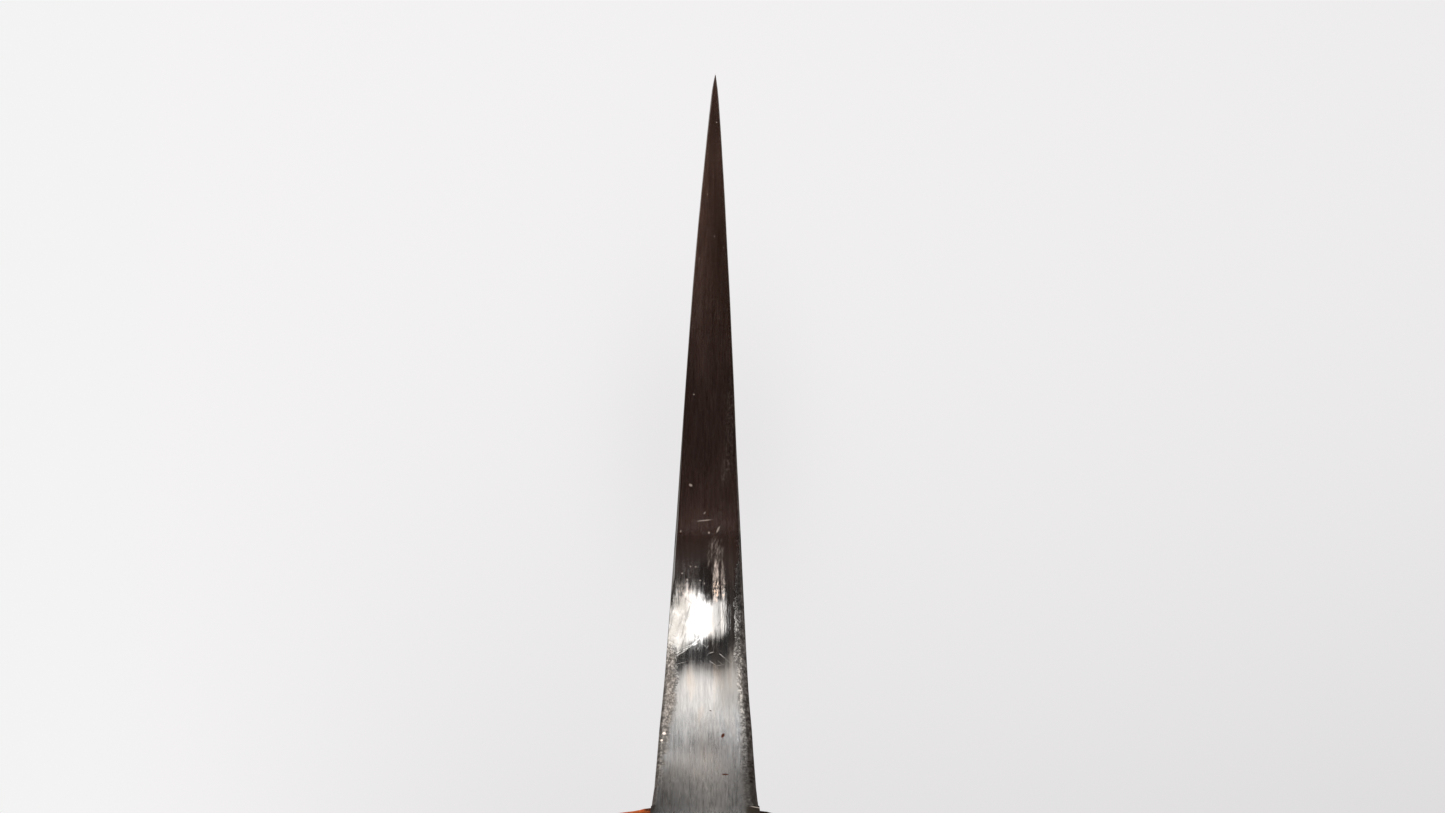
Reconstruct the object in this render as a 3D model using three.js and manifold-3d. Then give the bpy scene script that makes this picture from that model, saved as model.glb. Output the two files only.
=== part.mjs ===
// Japanese honesuki boning knife with a full tang and a bolsterless western handle.
// Units are millimetres. +X runs from the handle to the tip, +Z up through the spine,
// +Y to the holder's left. The origin is on the middle plane, at the height of the spine's flat,
// over the front of the handle.
// Pieces: one blade with its neck and full tang, two wooden scales, and three two-part
// cutler's rivets (a tubed half from the left, a pinned half from the right).
import * as THREE from "three";
import { mergeVertices } from "three/addons/utils/BufferGeometryUtils.js";
import Module from "manifold-3d";

const wasm = await Module();
wasm.setup();

const LEFT = 1; // sides, as the sign of Y
const RIGHT = -1;

// ---- driving dimensions ----
const STOCK = 3.4; // thickness of the tang, neck and spine at the heel
const HEEL_X = 16; // heel plane, ahead of the handle's front
const BLADE_LENGTH = 150; // heel to tip
const HEEL_HEIGHT = 41; // spine to cutting edge at the heel
const NECK_HEIGHT = 18; // spine to the neck's underside
const CHOIL_RADIUS = 8; // fillet between the heel face and the neck's underside
const HANDLE_LENGTH = 112;
const SIDE_FLAT = 8.5; // half thickness of the handle across its flat sides
const TIP_X = HEEL_X + BLADE_LENGTH;
const TANG_END = -HANDLE_LENGTH;
const TIP_Z = -34.6;

// ---- curves ----
// Monotone cubic interpolation through [x, value] pairs, x rising; constant beyond its ends.
function curve(points) {
  const last = points.length - 1;
  const xs = points.map(([x]) => x);
  const values = points.map(([, value]) => value);
  const steps = [];
  const slopes = [];
  for (let i = 0; i < last; i++) {
    steps.push(xs[i + 1] - xs[i]);
    slopes.push((values[i + 1] - values[i]) / steps[i]);
  }
  const tangents = [slopes[0]];
  for (let i = 1; i < last; i++) {
    if (slopes[i - 1] * slopes[i] <= 0) {
      tangents.push(0);
      continue;
    }
    const before = 2 * steps[i] + steps[i - 1];
    const after = steps[i] + 2 * steps[i - 1];
    tangents.push((before + after) / (before / slopes[i - 1] + after / slopes[i]));
  }
  tangents.push(slopes[last - 1]);

  return (x) => {
    if (x <= xs[0]) return values[0];
    if (x >= xs[last]) return values[last];
    let i = 0;
    while (x > xs[i + 1]) i++;
    const t = (x - xs[i]) / steps[i];
    const t2 = t * t;
    const t3 = t2 * t;
    return (
      (2 * t3 - 3 * t2 + 1) * values[i] +
      (t3 - 2 * t2 + t) * steps[i] * tangents[i] +
      (-2 * t3 + 3 * t2) * values[i + 1] +
      (t3 - t2) * steps[i] * tangents[i + 1]
    );
  };
}
const clamp01 = (t) => Math.min(1, Math.max(0, t));
const smooth = (t) => t * t * (3 - 2 * t);
// Drop of a unit quarter circle from its crest, for t from 0 to 1.
const corner = (t) => 1 - Math.sqrt(Math.max(0, 1 - t * t));

// ---- side view of the handle and neck: [x, z] ----
const handleTop = curve([
  [-106, -3.0], [-100, -2.2], [-80, -0.9], [-50, -0.2], [-20, 0], [0, 0],
]);
const handleBottom = curve([
  [-107, -26.4], [-103, -25.8], [-96, -23.6], [-84, -21.8], [-66, -21.9], [-50, -21.7],
  [-38, -20.85], [-26, -19.75], [-12, -18.5], [0, -NECK_HEIGHT],
]);
// The butt's rounded corners: where each starts, and how far it moves by the tang's end.
const BUTT_TOP = { from: -106, slope: 0.6, drop: 6.5 };
const BUTT_LOW = { from: -107, rise: 4.6 };

function topZ(x) {
  if (x >= BUTT_TOP.from) return handleTop(x);
  const t = (BUTT_TOP.from - x) / (BUTT_TOP.from - TANG_END);
  return handleTop(BUTT_TOP.from) - BUTT_TOP.slope * t - BUTT_TOP.drop * corner(t);
}
function lowZ(x) {
  if (x >= BUTT_LOW.from) return handleBottom(x);
  const t = (BUTT_LOW.from - x) / (BUTT_LOW.from - TANG_END);
  return handleBottom(BUTT_LOW.from) + BUTT_LOW.rise * corner(t);
}
// Underside of the neck and choil, between the handle and the heel plane.
function choilZ(x) {
  const along = x - (HEEL_X - CHOIL_RADIUS);
  if (along <= 0) return -NECK_HEIGHT;
  return -(NECK_HEIGHT + CHOIL_RADIUS) + Math.sqrt(CHOIL_RADIUS ** 2 - along ** 2);
}

// ---- blade form ----
// Side view of the blade: [x, z].
const spineZ = curve([
  [HEEL_X, 0], [36, 0], [60, -3.0], [90, -9.2], [120, -17.2], [145, -25.2], [158, -30.2],
  [TIP_X, TIP_Z],
]);
const edgeZ = curve([
  [HEEL_X, -HEEL_HEIGHT], [50, -HEEL_HEIGHT], [80, -40.9], [105, -40.5], [130, -39.3],
  [150, -37.4], [160, -35.9], [TIP_X, TIP_Z],
]);
// Thickness at the spine: [x, thickness].
const spineThickness = curve([
  [HEEL_X, STOCK], [42, 3.35], [70, 2.95], [100, 2.45], [130, 1.85], [150, 1.35], [160, 1.0],
  [TIP_X, 0.6],
]);
// The ground faces at the heel: [height above the edge, distance out from the middle plane].
// The right face is ground harder, so the edge stands to the left of the middle plane.
const EDGE_OFFSET = 0.32;
const RIGHT_BEVEL = 25.2; // heights of the faces' upper ends
const LEFT_BEVEL = 27.2;
const rightFace = curve([
  [0, -EDGE_OFFSET], [0.43, -0.231], [0.967, -0.164], [1.5, -0.103], [2.03, -0.043],
  [2.567, 0.011], [4.167, 0.173], [5.767, 0.323], [7.367, 0.457], [8.967, 0.577],
  [10.567, 0.691], [12.167, 0.802], [13.767, 0.91], [15.367, 1.019], [16.967, 1.134],
  [21, 1.412], [RIGHT_BEVEL, STOCK / 2],
]);
const leftFace = curve([
  [0, EDGE_OFFSET], [0.43, 0.384], [0.967, 0.436], [1.5, 0.473], [2.03, 0.51],
  [2.567, 0.542], [4.167, 0.636], [5.767, 0.716], [7.367, 0.801], [8.967, 0.874],
  [10.567, 0.947], [12.167, 1.009], [13.767, 1.084], [15.367, 1.164], [16.967, 1.237],
  [22, 1.47], [LEFT_BEVEL, STOCK / 2],
]);
// The grind's fade-out to full stock: [distance behind the heel plane, share faded].
const grindFade = curve([
  [0, 0], [1.4, 0.04], [2.25, 0.13], [3.24, 0.3], [4, 0.38], [5, 0.5], [6.3, 0.65],
  [9.8, 0.81], [13, 0.93], [HEEL_X, 1],
]);

// Half thickness of the steel on one side at a point of the side view, short of the tip.
function halfThickness(side, x, z) {
  const face = side === LEFT ? leftFace : rightFace;
  if (x <= 0) return STOCK / 2;
  if (x <= HEEL_X) {
    const fade = grindFade(HEEL_X - x);
    return face(z + HEEL_HEIGHT) * (1 - fade) + (STOCK / 2) * fade;
  }
  const heelHeight = ((z - edgeZ(x)) * HEEL_HEIGHT) / (spineZ(x) - edgeZ(x));
  return (face(heelHeight) * spineThickness(x)) / STOCK;
}

// ---- mesh helpers ----
// Collects triangles on shared points.
class Builder {
  points = [];
  triangles = [];
  seen = new Map();

  point(x, y, z) {
    const key = [x, y, z].map((v) => Math.round(v * 1e4)).join(",");
    if (!this.seen.has(key)) {
      this.seen.set(key, this.points.length);
      this.points.push([x, y, z]);
    }
    return this.seen.get(key);
  }
  triangle(a, b, c) {
    if (a !== b && b !== c && a !== c) this.triangles.push([a, b, c]);
  }
  quad(a, b, c, d) {
    this.triangle(a, b, c);
    this.triangle(a, c, d);
  }
  solid() {
    const geometry = new THREE.BufferGeometry();
    const positions = new THREE.Float32BufferAttribute(this.points.flat(), 3);
    geometry.setAttribute("position", positions);
    geometry.setIndex(this.triangles.flat());
    return toSolid(geometry);
  }
}

// Only positions are kept, so that points on seams can merge.
function toSolid(geometry) {
  geometry.deleteAttribute("normal");
  geometry.deleteAttribute("uv");
  const merged = mergeVertices(geometry, 1e-4);
  return new wasm.Manifold(
    new wasm.Mesh({
      numProp: 3,
      vertProperties: new Float32Array(merged.attributes.position.array),
      triVerts: new Uint32Array(merged.index.array),
    }),
  );
}
function toGeometry(solid) {
  const { vertProperties, triVerts } = solid.getMesh();
  const geometry = new THREE.BufferGeometry();
  const positions = new THREE.BufferAttribute(new Float32Array(vertProperties), 3);
  geometry.setAttribute("position", positions);
  geometry.setIndex(new THREE.BufferAttribute(new Uint32Array(triVerts), 1));
  geometry.computeVertexNormals();
  return geometry;
}

// ---- rivets and their holes ----
const RIVET_FRONT_X = -20;
const RIVET_PITCH = 36;
const RIVET_X = [0, 1, 2].map((k) => RIVET_FRONT_X - k * RIVET_PITCH);
const TURNED_SEGMENTS = 40;
const HEAD_RADIUS = 3.75;
const HEAD_THICKNESS = 2.4;
const HEAD_CHAMFER = 0.15;
const HEAD_IN = SIDE_FLAT - HEAD_THICKNESS; // a head's inner face, out from the middle plane
const TUBE_RADIUS = 2.6;
const TUBE_END_Y = -5.6; // stops short of the right head
const BORE_RADIUS = 1.6;
const BORE_FLOOR_Y = 5.4;
const PIN_RADIUS = 1.55;
const PIN_END_Y = 4.9; // stops short of the bore's floor
const PIN_CHAMFER = { radial: 0.25, axial: 0.5 };
const CLEARANCE = 0.05; // between a rivet and its hole
const TANG_HOLE_REACH = 5; // cutters run past the tang and scales, to these Y
const SCALE_HOLE_REACH = 12;

// A solid turned on an axis along Y at a rivet's place, from [radius, y] pairs that start and
// end on the axis. Its outer wall has to run towards +Y for the faces to point outwards.
function turnedAt(x, profile) {
  const points = profile.map(([radius, y]) => new THREE.Vector2(radius, y));
  const geometry = new THREE.LatheGeometry(points, TURNED_SEGMENTS);
  geometry.translate(x, 0, (topZ(x) + lowZ(x)) / 2);
  return toSolid(geometry);
}
function hole(x, radius, yA, yB) {
  const y0 = Math.min(yA, yB);
  const y1 = Math.max(yA, yB);
  return turnedAt(x, [[0, y0], [radius, y0], [radius, y1], [0, y1]]);
}
// Enters from the left; its tube reaches through the tang.
function tubedHalf(x) {
  return turnedAt(x, [
    [0, BORE_FLOOR_Y],
    [BORE_RADIUS, BORE_FLOOR_Y],
    [BORE_RADIUS, TUBE_END_Y],
    [TUBE_RADIUS, TUBE_END_Y],
    [TUBE_RADIUS, HEAD_IN],
    [HEAD_RADIUS, HEAD_IN],
    [HEAD_RADIUS, SIDE_FLAT - HEAD_CHAMFER],
    [HEAD_RADIUS - HEAD_CHAMFER, SIDE_FLAT],
    [0, SIDE_FLAT],
  ]);
}
// Enters from the right; its pin runs inside the tube.
function pinnedHalf(x) {
  return turnedAt(x, [
    [0, -SIDE_FLAT],
    [HEAD_RADIUS - HEAD_CHAMFER, -SIDE_FLAT],
    [HEAD_RADIUS, -SIDE_FLAT + HEAD_CHAMFER],
    [HEAD_RADIUS, -HEAD_IN],
    [PIN_RADIUS, -HEAD_IN],
    [PIN_RADIUS, PIN_END_Y - PIN_CHAMFER.axial],
    [PIN_RADIUS - PIN_CHAMFER.radial, PIN_END_Y],
    [0, PIN_END_Y],
  ]);
}

// ---- blade, neck and full tang ----
const EASE = 0.3; // eased corners of the spine, neck, choil and heel face
const EASE_RAMP = 1.5; // length ahead of the handle over which the easing grows
const EASE_SHARE = 0.17; // the easing's limit, as a share of the steel's thickness

// Each side is a grid. Rows run from the edge (or the underside) up to the spine, given by
// their height at the heel; the choil row meets the top of the heel face.
const CHOIL_HEIGHT = HEEL_HEIGHT - NECK_HEIGHT - CHOIL_RADIUS;
const ROW_HEIGHTS = [
  0, 0.43, 1.5, 2.567, 4.167, 7.367, 10.567, 13.0, CHOIL_HEIGHT, 17.5, 20, 22.5,
  RIGHT_BEVEL, LEFT_BEVEL, 32, 36.5, HEEL_HEIGHT,
];
const CHOIL_ROW = ROW_HEIGHTS.indexOf(CHOIL_HEIGHT);
const LAST_ROW = ROW_HEIGHTS.length - 1;

// Columns run from the tang's end to the tip: x of each.
const columns = [
  TANG_END, -111.7, -111, -110, -108.5, -107, -106, -103, -99, -92, -84, -75, -66, -56, -47,
  -38, -29, -20, -12, -6, -2, 0, 1.2, 3, 5.5,
];
for (let degrees = 0; degrees <= 90; degrees += 9) {
  const along = CHOIL_RADIUS * Math.sin((degrees * Math.PI) / 180);
  columns.push(HEEL_X - CHOIL_RADIUS + along);
}
const HEEL_COLUMN = columns.length - 1;
columns.push(
  20, 26, 34, 42, 50, 58, 66, 74, 82, 90, 98, 106, 114, 121, 128, 134, 140, 145, 150, 154,
  158, 161, 163.5, 165, TIP_X,
);
const LAST_COLUMN = columns.length - 1;

const firstRow = (i) => (i >= HEEL_COLUMN ? 0 : CHOIL_ROW);

function rowZ(i, j) {
  const x = columns[i];
  if (i >= HEEL_COLUMN) {
    return edgeZ(x) + (ROW_HEIGHTS[j] / HEEL_HEIGHT) * (spineZ(x) - edgeZ(x));
  }
  const low = x < 0 ? lowZ(x) : choilZ(x);
  const share = (ROW_HEIGHTS[j] - CHOIL_HEIGHT) / (HEEL_HEIGHT - CHOIL_HEIGHT);
  return low + share * (topZ(x) - low);
}

// [column, row] pairs: up the heel face, back along the choil and belly, up the butt and
// forward along the spine.
function makeOutline() {
  const outline = [];
  for (let j = 0; j < CHOIL_ROW; j++) outline.push([HEEL_COLUMN, j]);
  for (let i = HEEL_COLUMN; i >= 0; i--) outline.push([i, CHOIL_ROW]);
  for (let j = CHOIL_ROW + 1; j < LAST_ROW; j++) outline.push([0, j]);
  for (let i = 0; i <= LAST_COLUMN; i++) outline.push([i, LAST_ROW]);
  return outline;
}

function easeAt(i, j) {
  if (i === LAST_COLUMN) return 0;
  const x = columns[i];
  const z = rowZ(i, j);
  const thickness = halfThickness(LEFT, x, z) + halfThickness(RIGHT, x, z);
  return Math.min(EASE * clamp01(x / EASE_RAMP), EASE_SHARE * thickness);
}

// For each outline vertex: its easing, and the place it is moved in to on the side grids.
function easeOutline(outline) {
  const eased = new Map();
  outline.forEach(([i, j], k) => {
    const [beforeI, beforeJ] = outline[k - 1] ?? [i, j];
    const [afterI, afterJ] = outline[k + 1] ?? [i, j];
    const dx = columns[afterI] - columns[beforeI];
    const dz = rowZ(afterI, afterJ) - rowZ(beforeI, beforeJ);
    const length = Math.hypot(dx, dz);
    const ease = easeAt(i, j);
    // The outline runs clockwise seen from -Y, so its inside is to the right.
    const x = columns[i] + (dz / length) * ease;
    const z = rowZ(i, j) - (dx / length) * ease;
    eased.set(`${i},${j}`, { ease, x, z });
  });
  return eased;
}

function bladeBody() {
  const builder = new Builder();
  const outline = makeOutline();
  const eased = easeOutline(outline);

  const sideVertex = (side, i, j) => {
    if (i === LAST_COLUMN) return builder.point(TIP_X, 0, TIP_Z);
    if (i >= HEEL_COLUMN && j === 0) {
      // both faces meet on the cutting edge
      const x = columns[i];
      return builder.point(x, (EDGE_OFFSET * spineThickness(x)) / STOCK, edgeZ(x));
    }
    const { x, z } = eased.get(`${i},${j}`) ?? { x: columns[i], z: rowZ(i, j) };
    return builder.point(x, side * halfThickness(side, x, z), z);
  };
  // The outer end of an eased corner, on the outline itself.
  const rimVertex = (side, i, j) => {
    const { ease } = eased.get(`${i},${j}`);
    if (ease === 0) return sideVertex(side, i, j);
    const x = columns[i];
    const z = rowZ(i, j);
    return builder.point(x, side * (halfThickness(side, x, z) - ease), z);
  };

  for (const side of [LEFT, RIGHT]) {
    for (let i = 0; i < LAST_COLUMN; i++) {
      for (let j = firstRow(i); j < LAST_ROW; j++) {
        const cell = [[i, j], [i + 1, j], [i + 1, j + 1], [i, j + 1]];
        const vertices = cell.map((at) => sideVertex(side, ...at));
        if (side === LEFT) vertices.reverse();
        builder.quad(...vertices);
      }
    }
  }
  // Around the outline: the left eased corner, the right rim to the left rim, the right corner.
  const strip = (a, b, [from, fromSide], [to, toSide]) =>
    builder.quad(from(fromSide, ...a), from(fromSide, ...b), to(toSide, ...b), to(toSide, ...a));
  for (let k = 0; k < outline.length - 1; k++) {
    const ends = [outline[k], outline[k + 1]];
    strip(...ends, [rimVertex, LEFT], [sideVertex, LEFT]);
    strip(...ends, [rimVertex, RIGHT], [rimVertex, LEFT]);
    strip(...ends, [sideVertex, RIGHT], [rimVertex, RIGHT]);
  }
  return builder.solid();
}

function makeBlade() {
  let blade = bladeBody();
  for (const x of RIVET_X) {
    const bore = hole(x, TUBE_RADIUS + CLEARANCE, -TANG_HOLE_REACH, TANG_HOLE_REACH);
    blade = blade.subtract(bore);
  }
  return blade;
}

// ---- handle scales ----
// Each section is half of a superellipse around the middle plane, made flat at the side.
// The front is drawn in to a narrower, squarer nose; the butt is rounded in the plan view.
const GLUE = 0.05; // glue line between the tang and a scale
const SCALE_INNER = STOCK / 2 + GLUE;
const CROWN_WIDTH = 9.6; // half width of the full crown, before its sides are made flat
const CROWN_FRONT_WIDTH = CROWN_WIDTH - 0.3;
const CROWN_POWER = 2.2; // squareness of the crown: 2 is an ellipse
const NOSE = { length: 12, width: 5.2, power: 3.4 }; // half width and squareness at the front
const BUTT_ROUND = { length: 3.6, depth: 2.6 }; // rounding of the butt in the plan view
// How far each scale's belly stands above the steel's underside at the front of the handle.
const FRONT_RISE_LEFT = 0.15;
const FRONT_RISE_RIGHT = 0.07;
const FRONT_RISE_LENGTH = 6;
const ARC_STEPS = 20;
const SCALE_STATIONS = [
  TANG_END, -111.8, -111.3, -110.5, -109.4, -108, -106.5, -104, -100, -94, -86, -77, -68,
  -59, -50, -41, -32, -24, -17, -12, -9, -6.5, -4.5, -3, -1.8, -0.9, -0.35, 0,
];

const crownWidth = curve([
  [TANG_END, CROWN_WIDTH], [-60, CROWN_WIDTH],
  [-NOSE.length, CROWN_FRONT_WIDTH], [0, CROWN_FRONT_WIDTH],
]);
function sectionWidth(x) {
  const crown = crownWidth(x);
  if (x > -NOSE.length) {
    const t = (x + NOSE.length) / NOSE.length;
    return NOSE.width + (crown - NOSE.width) * Math.sqrt(1 - t ** 2);
  }
  const buttStart = TANG_END + BUTT_ROUND.length;
  if (x < buttStart) return crown - BUTT_ROUND.depth * corner((buttStart - x) / BUTT_ROUND.length);
  return crown;
}
function sectionPower(x) {
  const t = clamp01((x + NOSE.length) / NOSE.length);
  return CROWN_POWER + (NOSE.power - CROWN_POWER) * smooth(t);
}

// [y, z] points from the belly to the top, for the left side.
function scaleSection(x, frontRise) {
  const top = topZ(x);
  const low = lowZ(x) + frontRise * smooth(clamp01(1 + x / FRONT_RISE_LENGTH));
  const middle = (top + low) / 2;
  const halfHeight = (top - low) / 2;
  const width = sectionWidth(x);
  const power = sectionPower(x);
  const endAngle = Math.acos((SCALE_INNER / width) ** (power / 2));
  const section = [];
  for (let k = 0; k <= ARC_STEPS; k++) {
    const angle = endAngle * ((2 * k) / ARC_STEPS - 1);
    const sine = Math.sin(angle);
    const y = width * Math.cos(angle) ** (2 / power);
    const z = middle + halfHeight * Math.sign(angle) * Math.abs(sine) ** (2 / power);
    const onTang = k === 0 || k === ARC_STEPS;
    section.push([onTang ? SCALE_INNER : Math.max(SCALE_INNER, Math.min(SIDE_FLAT, y)), z]);
  }
  return section;
}

function scaleBody(side) {
  const builder = new Builder();
  const frontRise = side === LEFT ? FRONT_RISE_LEFT : FRONT_RISE_RIGHT;
  const sections = SCALE_STATIONS.map((x) =>
    scaleSection(x, frontRise).map(([y, z]) => builder.point(x, side * y, z)),
  );
  for (let i = 0; i < sections.length - 1; i++) {
    const [rear, front] = [sections[i], sections[i + 1]];
    for (let k = 0; k <= ARC_STEPS; k++) {
      const next = (k + 1) % (ARC_STEPS + 1);
      const vertices = [rear[k], rear[next], front[next], front[k]];
      if (side === RIGHT) vertices.reverse();
      builder.quad(...vertices);
    }
  }
  const cap = (section, flip) => {
    for (let k = 1; k < section.length - 1; k++) {
      const vertices = [section[0], section[k], section[k + 1]];
      if (flip) vertices.reverse();
      builder.triangle(...vertices);
    }
  };
  cap(sections[0], side === LEFT);
  cap(sections.at(-1), side === RIGHT);
  return builder.solid();
}

function makeScale(side) {
  const outside = side * SCALE_HOLE_REACH;
  const seat = side * (HEAD_IN - CLEARANCE);
  let scale = scaleBody(side);
  for (const x of RIVET_X) {
    scale = scale.subtract(hole(x, TUBE_RADIUS + CLEARANCE, 0, outside));
    scale = scale.subtract(hole(x, HEAD_RADIUS + CLEARANCE, seat, outside));
  }
  return scale;
}

// ---- the knife ----
const steel = new THREE.MeshStandardMaterial({ color: 0x9b9894, roughness: 0.3, metalness: 1 });
const wood = new THREE.MeshStandardMaterial({ color: 0xa24a26, roughness: 0.5, metalness: 0 });
const nickel = new THREE.MeshStandardMaterial({ color: 0xb9b4a8, roughness: 0.25, metalness: 1 });

function add(parent, name, solid, material) {
  const mesh = new THREE.Mesh(toGeometry(solid), material);
  mesh.name = name;
  parent.add(mesh);
}

const knife = new THREE.Group();
add(knife, "blade_and_tang", makeBlade(), steel);

const handle = new THREE.Group();
knife.add(handle);
add(handle, "scale_left", makeScale(LEFT), wood);
add(handle, "scale_right", makeScale(RIGHT), wood);
["front", "middle", "rear"].forEach((place, k) => {
  add(handle, `${place}_rivet_tubed_half`, tubedHalf(RIVET_X[k]), nickel);
  add(handle, `${place}_rivet_pinned_half`, pinnedHalf(RIVET_X[k]), nickel);
});

export default knife;
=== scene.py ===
# The looks of a bolsterless boning knife: ground steel blade with a full tang, two wooden
# scales and three brass rivets in two halves each.
# Frame: +X to the tip, +Y to the knife's left side, +Z out of the spine. The cutting edge is
# at -Z and the handle's front end at x = 0. A side is +1 for left and -1 for right.
# Sizes are in millimetres unless said otherwise; Blender's own unit is the metre.
import math
from functools import reduce
from operator import or_

import bmesh
import bpy
import numpy as np
from mathutils import Matrix, Vector, noise


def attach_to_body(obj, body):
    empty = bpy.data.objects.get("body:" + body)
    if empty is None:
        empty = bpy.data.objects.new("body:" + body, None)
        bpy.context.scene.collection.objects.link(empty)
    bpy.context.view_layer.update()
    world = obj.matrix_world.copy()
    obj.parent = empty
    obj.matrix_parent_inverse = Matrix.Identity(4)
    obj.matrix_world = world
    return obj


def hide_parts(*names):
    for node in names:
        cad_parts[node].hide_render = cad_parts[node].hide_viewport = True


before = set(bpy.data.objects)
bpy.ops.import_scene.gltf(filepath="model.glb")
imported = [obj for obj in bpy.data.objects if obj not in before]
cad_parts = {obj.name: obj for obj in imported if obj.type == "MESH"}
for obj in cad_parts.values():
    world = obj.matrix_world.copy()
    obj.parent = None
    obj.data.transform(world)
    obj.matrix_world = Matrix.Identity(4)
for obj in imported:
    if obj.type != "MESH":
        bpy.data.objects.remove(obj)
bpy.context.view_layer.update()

scene = bpy.context.scene
scene.view_settings.view_transform = "Standard"
scene.view_settings.look = "None"
scene.view_settings.exposure = 0.0
scene.view_settings.gamma = 1.0

# ---- sizes ----------------------------------------------------------------------------------
MM = 0.001
LEFT, RIGHT = 1, -1

STOCK = 3.4  # steel thickness
HEEL_X, BLADE_LENGTH, HEEL_H = 16.0, 150.0, 41.0
NECK, CHOIL_R, HANDLE_L = 18.0, 8.0, 112.0
TIP_X, TANG_END = HEEL_X + BLADE_LENGTH, -HANDLE_L
HEEL_FACE = HEEL_H - NECK - CHOIL_R  # height of the upright heel face
EDGE_OFFSET = 0.32  # how far the cutting edge lies to the left, at full thickness

SIDE_FLAT = 8.5  # distance of the scale's flat from the middle plane
CROWN_W, CROWN_P = 9.6, 2.2  # half width and superellipse power of the handle section
NOSE, NOSE_W, NOSE_P = 12.0, 5.2, 3.4  # the handle's narrowing front: length, width, power
BUTT_ROUND = 3.6
TOP_ROUND_X, LOW_ROUND_X = -106, -107  # where the butt's rounding starts, above and below

RIVET_X = {"front": -20.0, "middle": -56.0, "rear": -92.0}
HEAD_R, HEAD_T = 3.75, 2.4
TUBE_R, BORE_R, PIN_R = 2.6, 1.6, 1.55
CLEAR, HEAD_CLEAR = 0.05, 0.02
HEAD_IN = SIDE_FLAT - HEAD_T


def curve(points):
    """Monotone cubic through (x, value) pairs, held level beyond its ends."""
    xs = np.array([p[0] for p in points], float)
    ys = np.array([p[1] for p in points], float)
    gaps = np.diff(xs)
    rates = np.diff(ys) / gaps
    slopes = np.zeros(len(xs))
    slopes[0], slopes[-1] = rates[0], rates[-1]
    for i in range(1, len(xs) - 1):
        if rates[i - 1] * rates[i] > 0:
            a, b = 2 * gaps[i] + gaps[i - 1], gaps[i] + 2 * gaps[i - 1]
            slopes[i] = (a + b) / (a / rates[i - 1] + b / rates[i])

    def value(x):
        x = np.clip(np.asarray(x, float), xs[0], xs[-1])
        i = np.clip(np.searchsorted(xs, x, side="right") - 1, 0, len(gaps) - 1)
        t = (x - xs[i]) / gaps[i]
        return ((2 * t**3 - 3 * t**2 + 1) * ys[i]
                + (t**3 - 2 * t**2 + t) * gaps[i] * slopes[i]
                + (-2 * t**3 + 3 * t**2) * ys[i + 1]
                + (t**3 - t**2) * gaps[i] * slopes[i + 1])

    return value


# Side view of the blade: (x, z), and its thickness: (x, thickness)
spine_z = curve([
    (16, 0), (36, 0), (60, -3.0), (90, -9.2), (120, -17.2), (145, -25.2), (158, -30.2),
    (TIP_X, -34.6)])
edge_z = curve([
    (16, -HEEL_H), (50, -HEEL_H), (80, -40.9), (105, -40.5), (130, -39.3), (150, -37.4),
    (160, -35.9), (TIP_X, -34.6)])
thickness = curve([
    (16, STOCK), (42, 3.35), (70, 2.95), (100, 2.45), (130, 1.85), (150, 1.35), (160, 1.0),
    (TIP_X, 0.6)])

# Ground faces at the heel: (height above the edge, distance from the middle plane)
RIGHT_BEVEL, LEFT_BEVEL = 25.2, 27.2  # heights where the grind meets the flat
right_face = curve([
    (0, -0.32), (0.43, -0.231), (0.967, -0.164), (1.5, -0.103), (2.03, -0.043), (2.567, 0.011),
    (4.167, 0.173), (5.767, 0.323), (7.367, 0.457), (8.967, 0.577), (10.567, 0.691),
    (12.167, 0.802), (13.767, 0.91), (15.367, 1.019), (16.967, 1.134), (21, 1.412),
    (RIGHT_BEVEL, 1.7)])
left_face = curve([
    (0, 0.32), (0.43, 0.384), (0.967, 0.436), (1.5, 0.473), (2.03, 0.51), (2.567, 0.542),
    (4.167, 0.636), (5.767, 0.716), (7.367, 0.801), (8.967, 0.874), (10.567, 0.947),
    (12.167, 1.009), (13.767, 1.084), (15.367, 1.164), (16.967, 1.237), (22, 1.47),
    (LEFT_BEVEL, 1.7)])
# How the grind gives way to full stock behind the heel: (distance behind it, share of stock)
grind_fade = curve([
    (0, 0), (1.4, 0.04), (2.25, 0.13), (3.24, 0.3), (4, 0.38), (5, 0.5), (6.3, 0.65),
    (9.8, 0.81), (13, 0.93), (16, 1)])

# Side view of the handle: (x, z)
handle_top = curve([(-106, -3.0), (-100, -2.2), (-80, -0.9), (-50, -0.2), (-20, 0), (0, 0)])
handle_low = curve([
    (-107, -26.4), (-103, -25.8), (-96, -23.6), (-84, -21.8), (-66, -21.9), (-50, -21.7),
    (-38, -20.85), (-26, -19.75), (-12, -18.5), (0, -NECK)])
# Half width of the handle: (x, y)
crown_width = curve([
    (TANG_END, CROWN_W), (-60, CROWN_W), (-NOSE, CROWN_W - 0.3), (0, CROWN_W - 0.3)])


def clamp01(value):
    return min(1.0, max(0.0, value))


def smooth01(t):
    return t * t * (3 - 2 * t)


def smooth_step(value, start, end):
    return smooth01(clamp01((value - start) / (end - start)))


def quarter_round(t):
    """Drop of a quarter circle: 0 at t = 0 and 1 at t = 1."""
    return 1 - np.sqrt(np.maximum(0, 1 - np.asarray(t, float) ** 2))


def top_z(x):
    x = np.asarray(x, float)
    t = np.clip((TOP_ROUND_X - x) / (TOP_ROUND_X - TANG_END), 0, 1)
    rounded = handle_top(TOP_ROUND_X) - 0.6 * t - 6.5 * quarter_round(t)
    return np.where(x >= TOP_ROUND_X, handle_top(x), rounded)


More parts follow.
